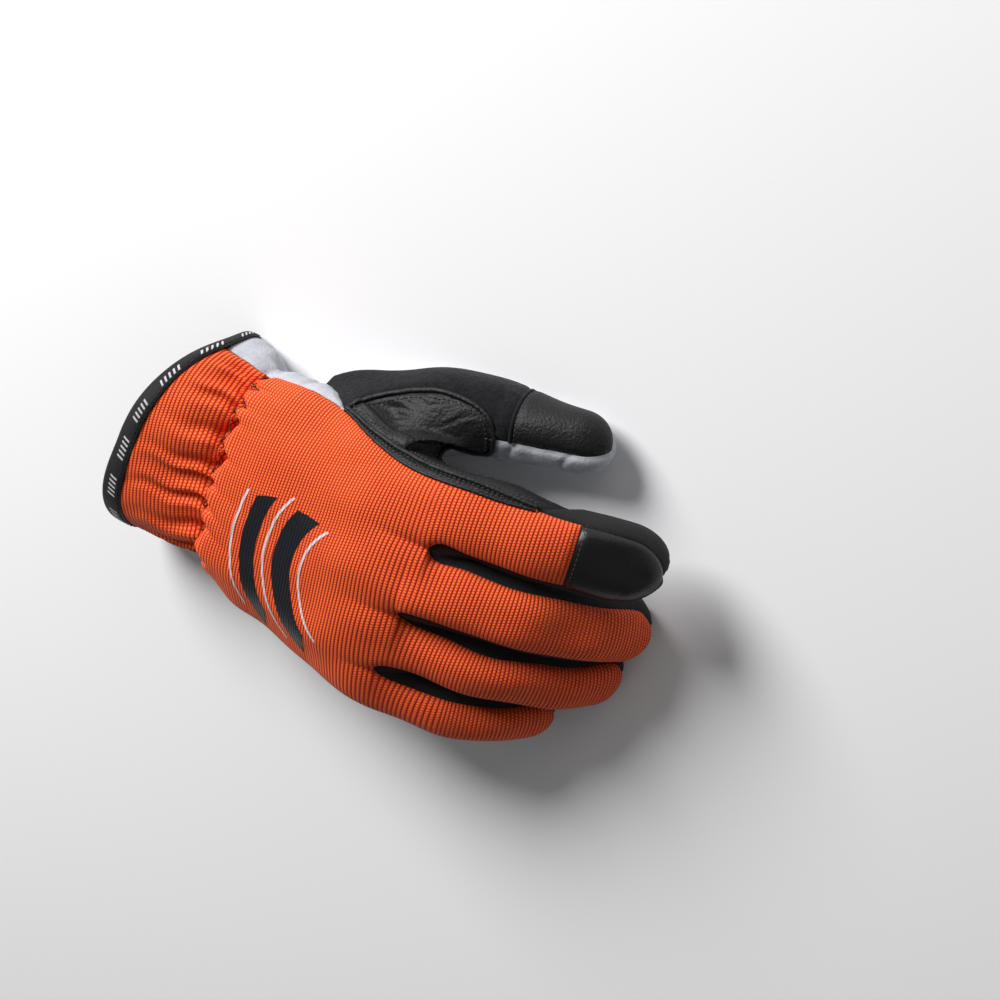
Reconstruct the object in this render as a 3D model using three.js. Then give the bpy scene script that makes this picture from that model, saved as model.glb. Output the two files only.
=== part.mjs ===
// Leather work glove for the right hand, in millimetres, +Z up.
// The glove lies palm down: +X towards the fingertips, +Y towards the thumb.
import * as THREE from "three";

// Materials
const orange = "#ef5a1e";
const black = "#1d1d1f";
const charcoal = "#2c2c2e";
const paleLeather = "#c9cbd1";

// Walls
const knitWall = 1.6;
const leatherWall = 1.6;
const sideWall = 1.1;
const bindingWall = 3.0;
const bindingRaise = 0.7;
const weld = 0.002; // points nearer than this are one
const seamInset = 0.25; // each piece stops this far short of its seam
const sideInset = 0.6; // and the side strips this far

// How the glove rests
const restPitch = 13.5; // palm slopes up from the heel to the knuckles
const restHeight = 17.8; // wrist's middle above the table
const flattening = 2.5; // the turn up from a flattened place starts this far below the table
const restShift = { x: -60.2, y: -12.2 }; // puts the glove's middle over the origin

// Cuff: shorter on the thumb side, longest at the little finger's side
const cuffLength = 34;
const cuffSlant = 12;
const cuffBow = 6;
const bindingWidth = 6;
const bindingGap = 0.3; // between the tape and the panels
const bindingFold = 0.8;

// Hand sections from the cuff's edge (x below 0) past the wrist gather (x = 0) to the finger roots
const handPower = 2.3;
const handSections = [
  { x: -34, midY: 3, width: 48, back: 31, palm: 28, midZ: 3 },
  { x: -18, midY: 4, width: 46, back: 28, palm: 25, midZ: 2 },
  { x: -6, midY: 4.5, width: 42.5, back: 23, palm: 21, midZ: 1 },
  { x: 0, midY: 4.5, width: 41, back: 20.5, palm: 20, midZ: 0 },
  { x: 7, midY: 4, width: 43.5, back: 23.5, palm: 22, midZ: 0 },
  { x: 22, midY: 2.5, width: 49, back: 25.5, palm: 25, midZ: 0 },
  { x: 45, midY: 0.5, width: 52, back: 25, palm: 25, midZ: 0 },
  { x: 70, midY: -0.5, width: 54, back: 23, palm: 20, midZ: 2 },
  { x: 90, midY: -1, width: 55, back: 19, palm: 17, midZ: 3 },
  { x: 125, midY: -2, width: 54, back: 15, palm: 14, midZ: -4 },
];

// Index, middle, ring and little finger: root joint, lean to the side, turn about their length,
// bends at the three joints, bone lengths
const fingers = [
  { x: 88, y: 41, z: 6, splay: 4, turn: -6, bends: [16, 16, 11], bones: [41, 25, 23], width: 15, height: 13 },
  { x: 86, y: 9, z: 10, splay: 1.5, turn: -4, bends: [23, 29, 19], bones: [46, 29, 26], width: 13.8, height: 13 },
  { x: 80, y: -18.5, z: 5, splay: -4, turn: 6, bends: [20, 29, 20], bones: [44, 29, 26.5], width: 12.8, height: 12.5 },
  { x: 72, y: -43, z: 0, splay: -9, turn: 16, bends: [17, 27, 18], bones: [36, 22, 25], width: 11.6, height: 11.5 },
];
const fingerPower = 2.4;
const fingerTaper = 0.9; // tip width against root width
const fingerRound = 1.15; // length of the rounded end against its half width
const jointReach = [14, 11, 9]; // half length of each bend
const behind = 60; // a finger's middle line runs back this far into the hand
// where the hand's section starts to become the finger's own, and over what length
const fingerStart = { back: 66, backLength: 42, palm: 78, palmLength: 44 };
const fingerBackSpan = 62; // the back panel's edge, degrees round from the top of the finger
const indexPatchStart = 55; // along the index finger from its root joint
const fingerPalmSpan = 60; // the palm panel's edge, degrees round from the bottom

// Slots between fingers
const slotStarts = [96, 92, 88]; // index to middle, middle to ring, ring to little
const slotOpen = 14; // length over which a slot opens to its full width
const palmLag = { reach: 20, length: 32 }; // the palm's slots start this much further out
const slotPull = 2.5; // how closely a slot's closing keeps to the finger's edge
const sideAngles = { thumbSide: 80, littleSide: 88 }; // side seams, degrees round from the top
// black strip that opens along the little finger side
const littleStrip = { start: 61, length: 30, back: 14, palm: 12 };
const rayAngles = [26, -4, -34]; // lines between the fingers, degrees round from the top

// Thumb hole in the side of the hand: upper edge round from the top, lower edge round from the bottom
const hole = { start: 12, lipEnd: 40, end: 73, upper: 112, backEdge: 74, palmReach: 22, palmEnd: 62 };
const holeTurns = { backLength: 20, riseLength: 26, fallStart: 56, fallLength: 26 };

// Thumb sections along its bent line, angle 0 on top and 90 facing the index finger
const thumbPower = 2.15;
const thumbSections = [
  { x: 12, y: 32, z: -5, width: 21, height: 19 },
  { x: 30, y: 45, z: -9, width: 20, height: 18.5 },
  { x: 48, y: 55, z: -14, width: 18.5, height: 17.5 },
  { x: 66, y: 60, z: -20, width: 17, height: 16 },
  { x: 80, y: 63, z: -25, width: 15.5, height: 14.5 },
  { x: 94, y: 65.5, z: -29.5, width: 14, height: 13 },
  { x: 108, y: 68, z: -33, width: 12.4, height: 11.6 },
  { x: 129, y: 72, z: -37.5, width: 10.8, height: 10.2 },
];
const thumbRound = 13; // length of the thumb's rounded end
const flareEnd = 88; // where the hole's edge has become the thumb's own section
const flareReach = 9; // how far the hole's edge first runs on in line with the hand
const webTurn = 1.4; // turns the web out towards the thumb instead of back along the hand
const webTurnStart = 60;
const webTurnLength = 15;
const flareFade = 24; // the run grows to its full reach over this length from the hole's start
const tipPatchStart = 94;
const ringAngles = { start: -105, lipEnd: -60, back: 75, palm: 105, finish: 255 }; // hole's edge
const thumbSeam = { inner: 12, outer: -130, tongueTop: 76, tongueUnder: 66, tonguePower: 2.6 };

const degrees = Math.PI / 180;
const clamp01 = (v) => Math.min(Math.max(v, 0), 1);
const mix = (a, b, w) => a + (b - a) * w;
const smooth = (v) => clamp01(v) ** 2 * (3 - 2 * clamp01(v));
const power = (v, p) => Math.sign(v) * Math.abs(v) ** p;
const vec = (x, y, z) => new THREE.Vector3(x, y, z);

// A smooth curve through one named column of a table
function along(rows, at, key) {
  const slope = (i) => {
    const a = rows[Math.max(i - 1, 0)];
    const b = rows[Math.min(i + 1, rows.length - 1)];
    return (b[key] - a[key]) / (b[at] - a[at]);
  };
  return (v) => {
    const u = Math.min(Math.max(v, rows[0][at]), rows.at(-1)[at]);
    let i = rows.findIndex((row) => row[at] > u) - 1;
    if (i < 0) i = rows.length - 2;
    const h = rows[i + 1][at] - rows[i][at];
    const t = (u - rows[i][at]) / h;
    return (
      (2 * t ** 3 - 3 * t ** 2 + 1) * rows[i][key] +
      (t ** 3 - 2 * t ** 2 + t) * h * slope(i) +
      (3 * t ** 2 - 2 * t ** 3) * rows[i + 1][key] +
      (t ** 3 - t ** 2) * h * slope(i + 1)
    );
  };
}

// Hand surface: angle 0 is the middle of the back, 90 the thumb's side, 180 the palm
const handColumn = Object.fromEntries(
  ["midY", "width", "back", "palm", "midZ"].map((key) => [key, along(handSections, "x", key)]),
);
function handPoint(x, angle) {
  const s = Math.sin(angle * degrees);
  const c = Math.cos(angle * degrees);
  const edge = cuffLength - cuffSlant * s + cuffBow * c * c;
  const height = c > 0 ? handColumn.back(x) : handColumn.palm(x);
  return vec(
    x < 0 ? (x * edge) / cuffLength : x,
    handColumn.midY(x) + handColumn.width(x) * power(s, 2 / handPower),
    handColumn.midZ(x) + height * power(c, 2 / handPower),
  );
}

// A finger's bent middle line, in steps of a millimetre from behind its root joint
function makeFinger(spec) {
  const length = spec.bones[0] + spec.bones[1] + spec.bones[2];
  const joints = [0, spec.bones[0], spec.bones[0] + spec.bones[1]];
  const bent = (t, i) => smooth((t - joints[i] + jointReach[i]) / (2 * jointReach[i]));
  const fall = (t) => joints.reduce((sum, _, i) => sum - spec.bends[i] * degrees * bent(t, i), 0);
  const line = [{ x: -behind, z: 0 }];
  for (let t = -behind; t < length; t += 1) {
    const last = line.at(-1);
    const a = fall(t + 0.5);
    line.push({ x: last.x + Math.cos(a), z: last.z + Math.sin(a) });
  }
  const turn = new THREE.Matrix4()
    .makeRotationZ(spec.splay * degrees)
    .multiply(new THREE.Matrix4().makeRotationX(spec.turn * degrees));
  const root = vec(spec.x, spec.y, spec.z);
  const place = (t, y, z) => {
    const at = Math.min(Math.max(t + behind, 0), line.length - 1.001);
    const i = Math.floor(at);
    const a = fall(t);
    const x = mix(line[i].x, line[i + 1].x, at - i) - z * Math.sin(a);
    return vec(x, y, mix(line[i].z, line[i + 1].z, at - i) + z * Math.cos(a)).applyMatrix4(turn).add(root);
  };
  const shrink = (t) => mix(1, fingerTaper, clamp01(t / length));
  const round = spec.width * fingerTaper * fingerRound;
  const start = length - round;
  return {
    ...spec,
    length,
    round,
    start,
    // Back (side 1) or palm (side -1) at length t and sideways share y of the width
    face(t, y, side) {
      const out = clamp01((t - start) / round);
      const r = Math.min(Math.hypot(y, out), 1);
      const z = side * spec.height * shrink(t) * (1 - r ** fingerPower) ** (1 / fingerPower);
      return place(t, y * spec.width * shrink(t), z);
    },
    // Round the side: angle from the top, and round the end by sweep degrees
    flank(t, angle, sweep, hand) {
      const r = Math.abs(Math.sin(angle * degrees)) ** (2 / fingerPower);
      const end = sweep > 0 ? start + round * r * Math.sin(sweep * degrees) : t;
      const y = hand * r * Math.cos(sweep * degrees) * spec.width * shrink(end);
      return place(end, y, spec.height * shrink(end) * power(Math.cos(angle * degrees), 2 / fingerPower));
    },
  };
}
const made = fingers.map(makeFinger);

// Rows across the hand, common to all fingers as far as the slots are open
const cuffRows = [-cuffLength + bindingWidth * 0.9, -19, -11, -6, -3, 0, 3, 7];
const handRows = [hole.start, 13.5, 17, 22, 28, 34, hole.lipEnd, 47, 54, littleStrip.start, 67, hole.end, 79];
const slotRows = [84, slotStarts[2], 90, slotStarts[1], 94, slotStarts[0], 98, 101, 105, 110];
const commonRows = [...cuffRows, ...handRows, ...slotRows];
const fingerSteps = 5;
const endSweeps = [22, 44, 67, 90];
const lag = (x) => palmLag.reach * smooth((x - littleStrip.start) / palmLag.length);

function rowsOf(finger) {
  const last = commonRows.at(-1);
  const rows = commonRows.map((x) => ({ back: x, palm: x + lag(x), sweep: 0 }));
  for (let i = 1; i <= fingerSteps; i += 1) {
    rows.push({
      back: mix(last, finger.x + finger.start, i / fingerSteps),
      palm: mix(last + lag(last), finger.x + finger.start, i / fingerSteps),
      sweep: 0,
    });
  }
  const end = finger.x + finger.start;
  return rows.concat(endSweeps.map((sweep) => ({ back: end, palm: end, sweep })));
}

// Side edges and the lines between the fingers, in degrees from the middle of the back or the palm
const roundOpen = (v) => Math.sqrt(1 - (1 - clamp01(v)) ** 2);
function rayEdges(x, side) {
  const strip = roundOpen((x - littleStrip.start) / littleStrip.length);
  if (side > 0) {
    const top = mix(sideAngles.thumbSide, hole.backEdge, smooth((x - hole.lipEnd) / holeTurns.backLength));
    return [top, ...rayAngles, littleStrip.back * strip - sideAngles.littleSide];
  }
  const rise = roundOpen((x - hole.start) / holeTurns.riseLength);
  const fall = smooth((x - holeTurns.fallStart) / holeTurns.fallLength);
  const inner = mix(mix(180 - hole.upper, hole.palmReach, rise), hole.palmEnd, fall);
  const outer = sideAngles.littleSide - 180;
  const share = (inner - outer) / (180 - hole.upper - outer);
  return [inner, ...rayAngles.map((a) => outer + (a - outer) * share), outer + littleStrip.palm * strip];
}

// How far a place has gone over from the hand's section to the finger's own
const backTurn = (x) => smooth((x - fingerStart.back) / fingerStart.backLength);
const palmTurn = (x) => smooth((x - fingerStart.palm) / fingerStart.palmLength);

function rawPoint(k, row, u, side) {
  const finger = made[k];
  const x = side > 0 ? row.back : row.palm;
  const span = side > 0 ? fingerBackSpan : fingerPalmSpan;
  const edges = rayEdges(x, side);
  const angle = mix(edges[k + 1], edges[k], (u + 1) / 2);
  const hand = handPoint(x, side > 0 ? angle : 180 - angle);
  const limit = Math.sin(span * degrees) ** (2 / fingerPower);
  const out = row.sweep > 0 ? finger.round * limit * Math.sin(row.sweep * degrees) : 0;
  const y = power(Math.sin(u * span * degrees), 2 / fingerPower) * Math.cos(row.sweep * degrees);
  const own = finger.face(x - finger.x + out, y, side);
  return hand.lerp(own, side > 0 ? backTurn(x) : palmTurn(x));
}

// Closing of a slot: 1 where two fingers still share a line, 0 where they are apart
function closing(x, slot, side) {
  const start = slotStarts[slot] + (side > 0 ? 0 : lag(slotStarts[slot]));
  return 1 - roundOpen((x - start) / slotOpen);
}

// The finished back or palm surface of finger k
function panelPoint(k, row, u, side) {
  const point = rawPoint(k, row, u, side);
  const x = side > 0 ? row.back : row.palm;
  if (row.sweep > 0) return point;
  for (const [edge, slot, other] of [[1, k - 1, k - 1], [-1, k, k + 1]]) {
    if (slot < 0 || slot > 2) continue;
    const w = closing(x, slot, side);
    if (w <= 0) continue;
    const mine = rawPoint(k, row, edge, side);
    const theirs = rawPoint(other, row, -edge, side);
    const pull = theirs.sub(mine).multiplyScalar(0.5 * w * ((1 + edge * u) / 2) ** slotPull);
    point.add(pull);
  }
  return point;
}

// The side of finger k that faces hand (+1 thumb side, -1 little finger side), b from back to palm
function flankPoint(k, row, b, hand) {
  const finger = made[k];
  const x = mix(row.back, row.palm, b);
  const back = rawPoint(k, row, hand, 1);
  const palm = rawPoint(k, row, hand, -1);
  const angle = mix(fingerBackSpan, 180 - fingerPalmSpan, b);
  const own = finger.flank(x - finger.x, angle, row.sweep, hand);
  const backOwn = finger.flank(row.back - finger.x, fingerBackSpan, row.sweep, hand);
  const palmOwn = finger.flank(row.palm - finger.x, 180 - fingerPalmSpan, row.sweep, hand);
  // the finger's own roundness over a straight line from the back's edge to the palm's
  const bulge = own.sub(backOwn.lerp(palmOwn, b));
  const opened = k === 3 && hand < 0 ? roundOpen((x - littleStrip.start) / littleStrip.length) : 1;
  return back.lerp(palm, b).addScaledVector(bulge, opened);
}
function sidePoint(k, row, b, hand) {
  const point = flankPoint(k, row, b, hand);
  const slot = hand > 0 ? k - 1 : k;
  if (slot < 0 || slot > 2 || row.sweep > 0) return point;
  const w = mix(closing(row.back, slot, 1), closing(row.palm, slot, -1), b);
  if (w <= 0) return point;
  const theirs = flankPoint(hand > 0 ? k - 1 : k + 1, row, b, -hand);
  return point.lerp(theirs, 0.5 * w);
}

// The thumb's own section at x, and its rounded end
const thumbColumn = Object.fromEntries(
  ["y", "z", "width", "height"].map((key) => [key, along(thumbSections, "x", key)]),
);
const thumbTip = thumbSections.at(-1).x;
function thumbTube(x, angle) {
  const centre = (v) => vec(v, thumbColumn.y(v), thumbColumn.z(v));
  const at = Math.min(x, thumbTip - 1);
  const ahead = centre(at + 0.5).sub(centre(at - 0.5)).normalize();
  const up = vec(0, 0, 1).addScaledVector(ahead, -ahead.z).normalize();
  const inward = ahead.clone().cross(up);
  const shrink = Math.sqrt(Math.max(1 - clamp01((x - thumbTip + thumbRound) / thumbRound) ** 2, 0));
  return centre(x)
    .addScaledVector(inward, thumbColumn.width(x) * shrink * power(Math.sin(angle * degrees), 2 / thumbPower))
    .addScaledVector(up, thumbColumn.height(x) * shrink * power(Math.cos(angle * degrees), 2 / thumbPower));
}

// The hole's edge as a closed loop of points, each with its angle round the thumb
// and the way the skin runs into the hole
const sideSteps = 3;
const indexRows = rowsOf(made[0]);
const rowAt = (x) => indexRows.findIndex((row) => row.back === x);
const lipAngle = (x) => mix(hole.upper, sideAngles.thumbSide, (x - hole.start) / (hole.lipEnd - hole.start));
function handNormal(x, angle) {
  const along = handPoint(x + 1, angle).sub(handPoint(x - 1, angle));
  return along.cross(handPoint(x, angle + 1).sub(handPoint(x, angle - 1))).normalize();
}
function holeLoop() {
  const places = [];
  const first = rowAt(hole.start);
  const lip = rowAt(hole.lipEnd);
  const last = rowAt(hole.end);
  const put = (point, normal, angle) => places.push({ point, normal, angle });
  const span = (i, from, to, a, b) => mix(a, b, (i - from) / (to - from));
  for (let j = first; j < lip; j += 1) {
    const x = indexRows[j].back;
    const angle = span(j, first, lip, ringAngles.start, ringAngles.lipEnd);
    put(handPoint(x, lipAngle(x)), handNormal(x, lipAngle(x)), angle);
  }
  for (let j = lip; j < last; j += 1) {
    const x = indexRows[j].back;
    const angle = span(j, lip, last, ringAngles.lipEnd, ringAngles.back);
    put(panelPoint(0, indexRows[j], 1, 1), handNormal(x, rayEdges(x, 1)[0]), angle);
  }
  for (let i = 0; i <= sideSteps; i += 1) {
    const angle = mix(ringAngles.back, ringAngles.palm, i / sideSteps);
    put(sidePoint(0, indexRows[last], i / sideSteps, 1), vec(0, 1, 0), angle);
  }
  for (let j = last - 1; j > first; j -= 1) {
    const x = indexRows[j].palm;
    const angle = span(j, last, first, ringAngles.palm, ringAngles.finish);
    put(panelPoint(0, indexRows[j], 1, -1), handNormal(x, 180 - rayEdges(x, -1)[0]), angle);
  }
  return places.map((place, i) => {
    const before = places.at(i - 1).point;
    const after = places[(i + 1) % places.length].point;
    const run = place.normal.clone().cross(after.clone().sub(before)).normalize();
    const turned = webTurn * smooth((place.point.x - webTurnStart) / webTurnLength);
    run.addScaledVector(place.normal, turned).normalize();
    return { ...place, run };
  });
}
const loop = holeLoop();

// The thumb's surface: share 0 is the hole's edge at loop place i, share 1 the thumb's own section
function flarePoint(base, share, angle) {
  const tube = thumbTube(mix(base.point.x, flareEnd, share), angle);
  const reach = flareReach * smooth((base.point.x - hole.start) / flareFade) * Math.sin(share * Math.PI * 0.75);
  const out = base.point.clone().addScaledVector(base.run, reach);
  return out.lerp(tube, smooth(share));
}

// Pitches and lowers the glove onto the table and flattens what would go below it
const lay = new THREE.Matrix4()
  .makeRotationY(-restPitch * degrees)
  .premultiply(new THREE.Matrix4().makeTranslation(restShift.x, restShift.y, restHeight));
function rest(point) {
  const laid = point.clone().applyMatrix4(lay);
  if (laid.z < flattening) laid.z = Math.max(laid.z + flattening, 0) ** 2 / (4 * flattening);
  return laid;
}

// One skin: every piece's outer faces share the points along their seams
function makeSkin() {
  const points = [];
  const pieces = new Map();
  const indexOf = (point) => {
    const known = points.findIndex((other) => other.distanceToSquared(point) < weld ** 2);
    return known < 0 ? points.push(point) - 1 : known;
  };
  return {
    points,
    pieces,
    // Rows of points; turned faces look the other way
    add(name, rows, turned) {
      const grid = rows.map((row) => row.map((point) => indexOf(rest(point))));
      if (!pieces.has(name)) pieces.set(name, []);
      const put = (a, b, c) => {
        if (a !== b && b !== c && c !== a) pieces.get(name).push(turned ? [a, c, b] : [a, b, c]);
      };
      for (let i = 0; i + 1 < grid.length; i += 1) {
        for (let j = 0; j + 1 < grid[i].length; j += 1) {
          put(grid[i][j], grid[i + 1][j], grid[i + 1][j + 1]);
          put(grid[i][j], grid[i + 1][j + 1], grid[i][j + 1]);
        }
      }
    },
    // Outward direction at each point, over all the pieces that meet there
    normals() {
      const sums = points.map(() => vec(0, 0, 0));
      for (const faces of pieces.values()) {
        for (const face of faces) {
          const [p, q, r] = face.map((i) => points[i]);
          const n = q.clone().sub(p).cross(r.clone().sub(p)).normalize();
          const corner = (a, b, c) => b.clone().sub(a).angleTo(c.clone().sub(a));
          [corner(p, q, r), corner(q, r, p), corner(r, p, q)].forEach((angle, i) => {
            sums[face[i]].addScaledVector(n, angle);
          });
        }
      }
      return sums.map((n) => n.normalize());
    },
  };
}

// A piece's closed sheet: its outer faces, the same faces moved in by the wall, and a wall round each edge
function sheet(skin, normals, faces, wall, inset, raise = 0) {
  const edges = new Map();
  for (const [a, b, c] of faces) {
    for (const [p, q] of [[a, b], [b, c], [c, a]]) {
      if (edges.has(q + "," + p)) edges.delete(q + "," + p);
      else edges.set(p + "," + q, [p, q]);
    }
  }
  // each edge point moves in from the seam, square to the edge and along the skin
  const inward = new Map();
  for (const [p, q] of edges.values()) {
    const run = skin.points[q].clone().sub(skin.points[p]).normalize();
    for (const i of [p, q]) {
      const side = normals[i].clone().cross(run).normalize();
      if (!inward.has(i)) inward.set(i, vec(0, 0, 0));
      inward.get(i).add(side);
    }
  }
  const place = (i, depth) => {
    const point = skin.points[i].clone().addScaledVector(normals[i], -depth);
    if (inward.has(i)) point.addScaledVector(inward.get(i).clone().normalize(), inset);
    point.z = Math.max(point.z, 0); // the table
    return point;
  };
  const corners = [];
  const put = (...all) => all.forEach((point) => corners.push(point.x, point.y, point.z));
  for (const [a, b, c] of faces) {
    put(place(a, -raise), place(b, -raise), place(c, -raise));
    put(place(a, wall - raise), place(c, wall - raise), place(b, wall - raise));
  }
  for (const [p, q] of edges.values()) {
    put(place(p, -raise), place(p, wall - raise), place(q, wall - raise));
    put(place(p, -raise), place(q, wall - raise), place(q, -raise));
  }
  const geometry = new THREE.BufferGeometry();
  geometry.setAttribute("position", new THREE.Float32BufferAttribute(corners, 3));
  geometry.computeVertexNormals();
  return geometry;
}

// Columns across a back or palm ray
const across = [-1, -0.55, 0, 0.55, 1];

function addHand(skin) {
  made.forEach((finger, k) => {
    const rows = rowsOf(finger);
    for (const side of [1, -1]) {
      const grid = rows.map((row) => across.map((u) => panelPoint(k, row, u, side)));
      if (side > 0 && k === 0) {
        const patch = rows.findIndex((row) => row.back - finger.x >= indexPatchStart);
        skin.add("back_panel", grid.slice(0, patch + 1), false);
        skin.add("index_tip_patch", grid.slice(patch), false);
      } else {
        skin.add(side > 0 ? "back_panel" : "palm_panel", grid, side < 0);
      }
    }
  });
  const lip = indexRows.slice(0, rowAt(hole.lipEnd) + 1).map((row) => {
    const end = row.back < hole.start ? hole.upper : lipAngle(row.back);
    return [0, 0.5, 1].map((v) => handPoint(row.back, mix(sideAngles.thumbSide, end, v)));
  });
  skin.add("palm_panel", lip, false);
}

// Side strips: each runs out along one finger's side, and between fingers back along the next
function addSides(skin) {
  const shares = Array.from({ length: sideSteps + 1 }, (_, i) => i / sideSteps);
  const strip = (name, k, hand, from) => {
    const rows = rowsOf(made[k]);
    const first = rows.findIndex((row) => row.back >= from);
    skin.add(name, rows.slice(first).map((row) => shares.map((b) => sidePoint(k, row, b, hand))), hand < 0);
  };
  strip("fourchette_index_outer", 0, 1, hole.end);
  ["fourchette_index_middle", "fourchette_middle_ring", "fourchette_ring_little"].forEach((name, i) => {
    strip(name, i, -1, slotStarts[i]);
    strip(name, i + 1, 1, slotStarts[i]);
  });
  strip("fourchette_little_outer", 3, -1, littleStrip.start);
}

// Thumb pieces between seams that run round and along it
const flareShares = [0, 0.1, 0.22, 0.36, 0.5, 0.64, 0.78, 0.9, 1];
const tubeStations = [tipPatchStart, 101, 109, thumbTip - thumbRound];
function addThumb(skin) {
  // the crotch patch narrows to the thumb's inner seam like a tongue
  const close = (share) => Math.sqrt(1 - share ** thumbSeam.tonguePower);
  const { inner } = thumbSeam;
  const topReach = (share) => mix(inner - ringAngles.lipEnd, thumbSeam.tongueTop, smooth(3 * share));
  const underReach = (share) => mix(ringAngles.palm - inner, thumbSeam.tongueUnder, smooth(2 * share));
  const tongueTop = (share) => inner - topReach(share) * close(share);
  const tongueUnder = (share) => inner + underReach(share) * close(share);
  const outer = (share) => mix(ringAngles.start, thumbSeam.outer, smooth(share));
  const lipPlace = rowAt(hole.lipEnd) - rowAt(hole.start);
  const palmPlace = loop.findIndex((place) => place.angle >= ringAngles.palm);
  const closed = [...loop, { ...loop[0], angle: ringAngles.finish }];
  const roundStart = thumbTip - thumbRound;
  const ends = endSweeps.map((a) => roundStart + thumbRound * Math.sin(a * degrees));
  const stations = [...tubeStations, ...ends];
  const piece = (name, from, to, low, high, patch) => {
    const places = closed.slice(from, to + 1);
    const shares = places.map((p) => (p.angle - places[0].angle) / (places.at(-1).angle - places[0].angle));
    const rows = flareShares.map((share) =>
      places.map((place, i) => flarePoint(place, share, mix(low(share), high(share), shares[i]))),
    );
    if (patch === null) {
      skin.add(name, rows, true);
      return;
    }
    const tube = stations.map((x) => shares.map((v) => thumbTube(x, mix(low(1), high(1), v))));
    if (patch) {
      skin.add(name, [...rows, tube[0]], true);
      skin.add(patch, tube, true);
    } else {
      skin.add(name, [...rows, ...tube], true);
    }
  };
  piece("thumb_back", 0, lipPlace, outer, tongueTop, "thumb_tip_patch");
  piece("thumb_crotch_patch", lipPlace, palmPlace, tongueTop, tongueUnder, null);
  piece("thumb_palm", palmPlace, closed.length - 1, tongueUnder, (share) => outer(share) + 360, "");
}

// The tape folded over the cuff's edge
function makeBinding() {
  const skin = makeSkin();
  const turns = 36;
  const inner = cuffRows[0] - bindingGap;
  const rows = [-cuffLength, -cuffLength + bindingFold, inner].map((x) =>
    Array.from({ length: turns + 1 }, (_, i) => handPoint(x, 180 - ((i % turns) * 360) / turns)),
  );
  skin.add("cuff_binding", rows, true);
  return sheet(skin, skin.normals(), skin.pieces.get("cuff_binding"), bindingWall, 0, bindingRaise);
}

const looks = {
  back_panel: { wall: knitWall, color: orange, roughness: 0.85 },
  palm_panel: { wall: leatherWall, color: paleLeather, roughness: 0.6 },
  index_tip_patch: { wall: leatherWall, color: black, roughness: 0.45 },
  fourchette_index_outer: { wall: sideWall, color: black, roughness: 0.8 },
  fourchette_index_middle: { wall: sideWall, color: black, roughness: 0.8 },
  fourchette_middle_ring: { wall: sideWall, color: black, roughness: 0.8 },
  fourchette_ring_little: { wall: sideWall, color: black, roughness: 0.8 },
  fourchette_little_outer: { wall: sideWall, color: black, roughness: 0.8 },
  thumb_back: { wall: sideWall, color: charcoal, roughness: 0.9 },
  thumb_tip_patch: { wall: leatherWall, color: black, roughness: 0.5 },
  thumb_palm: { wall: leatherWall, color: paleLeather, roughness: 0.6 },
  thumb_crotch_patch: { wall: leatherWall, color: black, roughness: 0.5 },
};

function mesh(name, geometry, color, roughness) {
  const part = new THREE.Mesh(geometry, new THREE.MeshStandardMaterial({ color, roughness, metalness: 0 }));
  part.name = name;
  return part;
}

const glove = new THREE.Group();
const skin = makeSkin();
addHand(skin);
addSides(skin);
addThumb(skin);
const normals = skin.normals();
for (const [name, faces] of skin.pieces) {
  const { wall, color, roughness } = looks[name];
  const inset = name.startsWith("fourchette") ? sideInset : seamInset;
  glove.add(mesh(name, sheet(skin, normals, faces, wall, inset), color, roughness));
}
glove.add(mesh("cuff_binding", makeBinding(), black, 0.8));

export default glove;
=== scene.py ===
# Leather work glove with a ribbed knit back: the looks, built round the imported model.
# Shapes are worked out in millimetres in the hand's own frame (x from the wrist gather to the
# fingertips, y towards the thumb, z out of the back of the hand), then laid on the table.
import math

import bpy
import numpy as np
from mathutils import Matrix, Vector
from mathutils.bvhtree import BVHTree
from mathutils.interpolate import poly_3d_calc
from mathutils.kdtree import KDTree


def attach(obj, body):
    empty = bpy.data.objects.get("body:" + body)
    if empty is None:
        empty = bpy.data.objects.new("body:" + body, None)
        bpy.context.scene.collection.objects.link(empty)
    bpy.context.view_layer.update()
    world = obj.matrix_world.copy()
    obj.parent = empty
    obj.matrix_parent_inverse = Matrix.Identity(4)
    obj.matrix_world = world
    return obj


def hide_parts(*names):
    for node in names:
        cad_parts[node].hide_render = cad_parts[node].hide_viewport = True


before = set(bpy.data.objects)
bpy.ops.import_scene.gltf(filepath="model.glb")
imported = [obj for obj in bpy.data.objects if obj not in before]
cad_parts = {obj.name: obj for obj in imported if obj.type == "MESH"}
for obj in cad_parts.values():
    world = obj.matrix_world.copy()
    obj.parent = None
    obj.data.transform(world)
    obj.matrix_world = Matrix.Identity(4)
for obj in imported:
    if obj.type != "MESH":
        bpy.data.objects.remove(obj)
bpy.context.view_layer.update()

rest = {"pitch": 13.5, "height": 17.8, "flattening": 2.5, "shift": (-60.2, -12.2)}
cuff = {"length": 34, "slant": 12, "bow": 6}
hand = {
    "power": 2.3,
    # x, middle y, half width, back, palm, middle z
    "sections": [
        (-34, 3, 48, 31, 28, 3),
        (-18, 4, 46, 28, 25, 2),
        (-6, 4.5, 42.5, 23, 21, 1),
        (0, 4.5, 41, 20.5, 20, 0),
        (7, 4, 43.5, 23.5, 22, 0),
        (22, 2.5, 49, 25.5, 25, 0),
        (45, 0.5, 52, 25, 25, 0),
        (70, -0.5, 54, 23, 20, 2),
        (90, -1, 55, 19, 17, 3),
        (125, -2, 54, 15, 14, -4),
    ],
}
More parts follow.
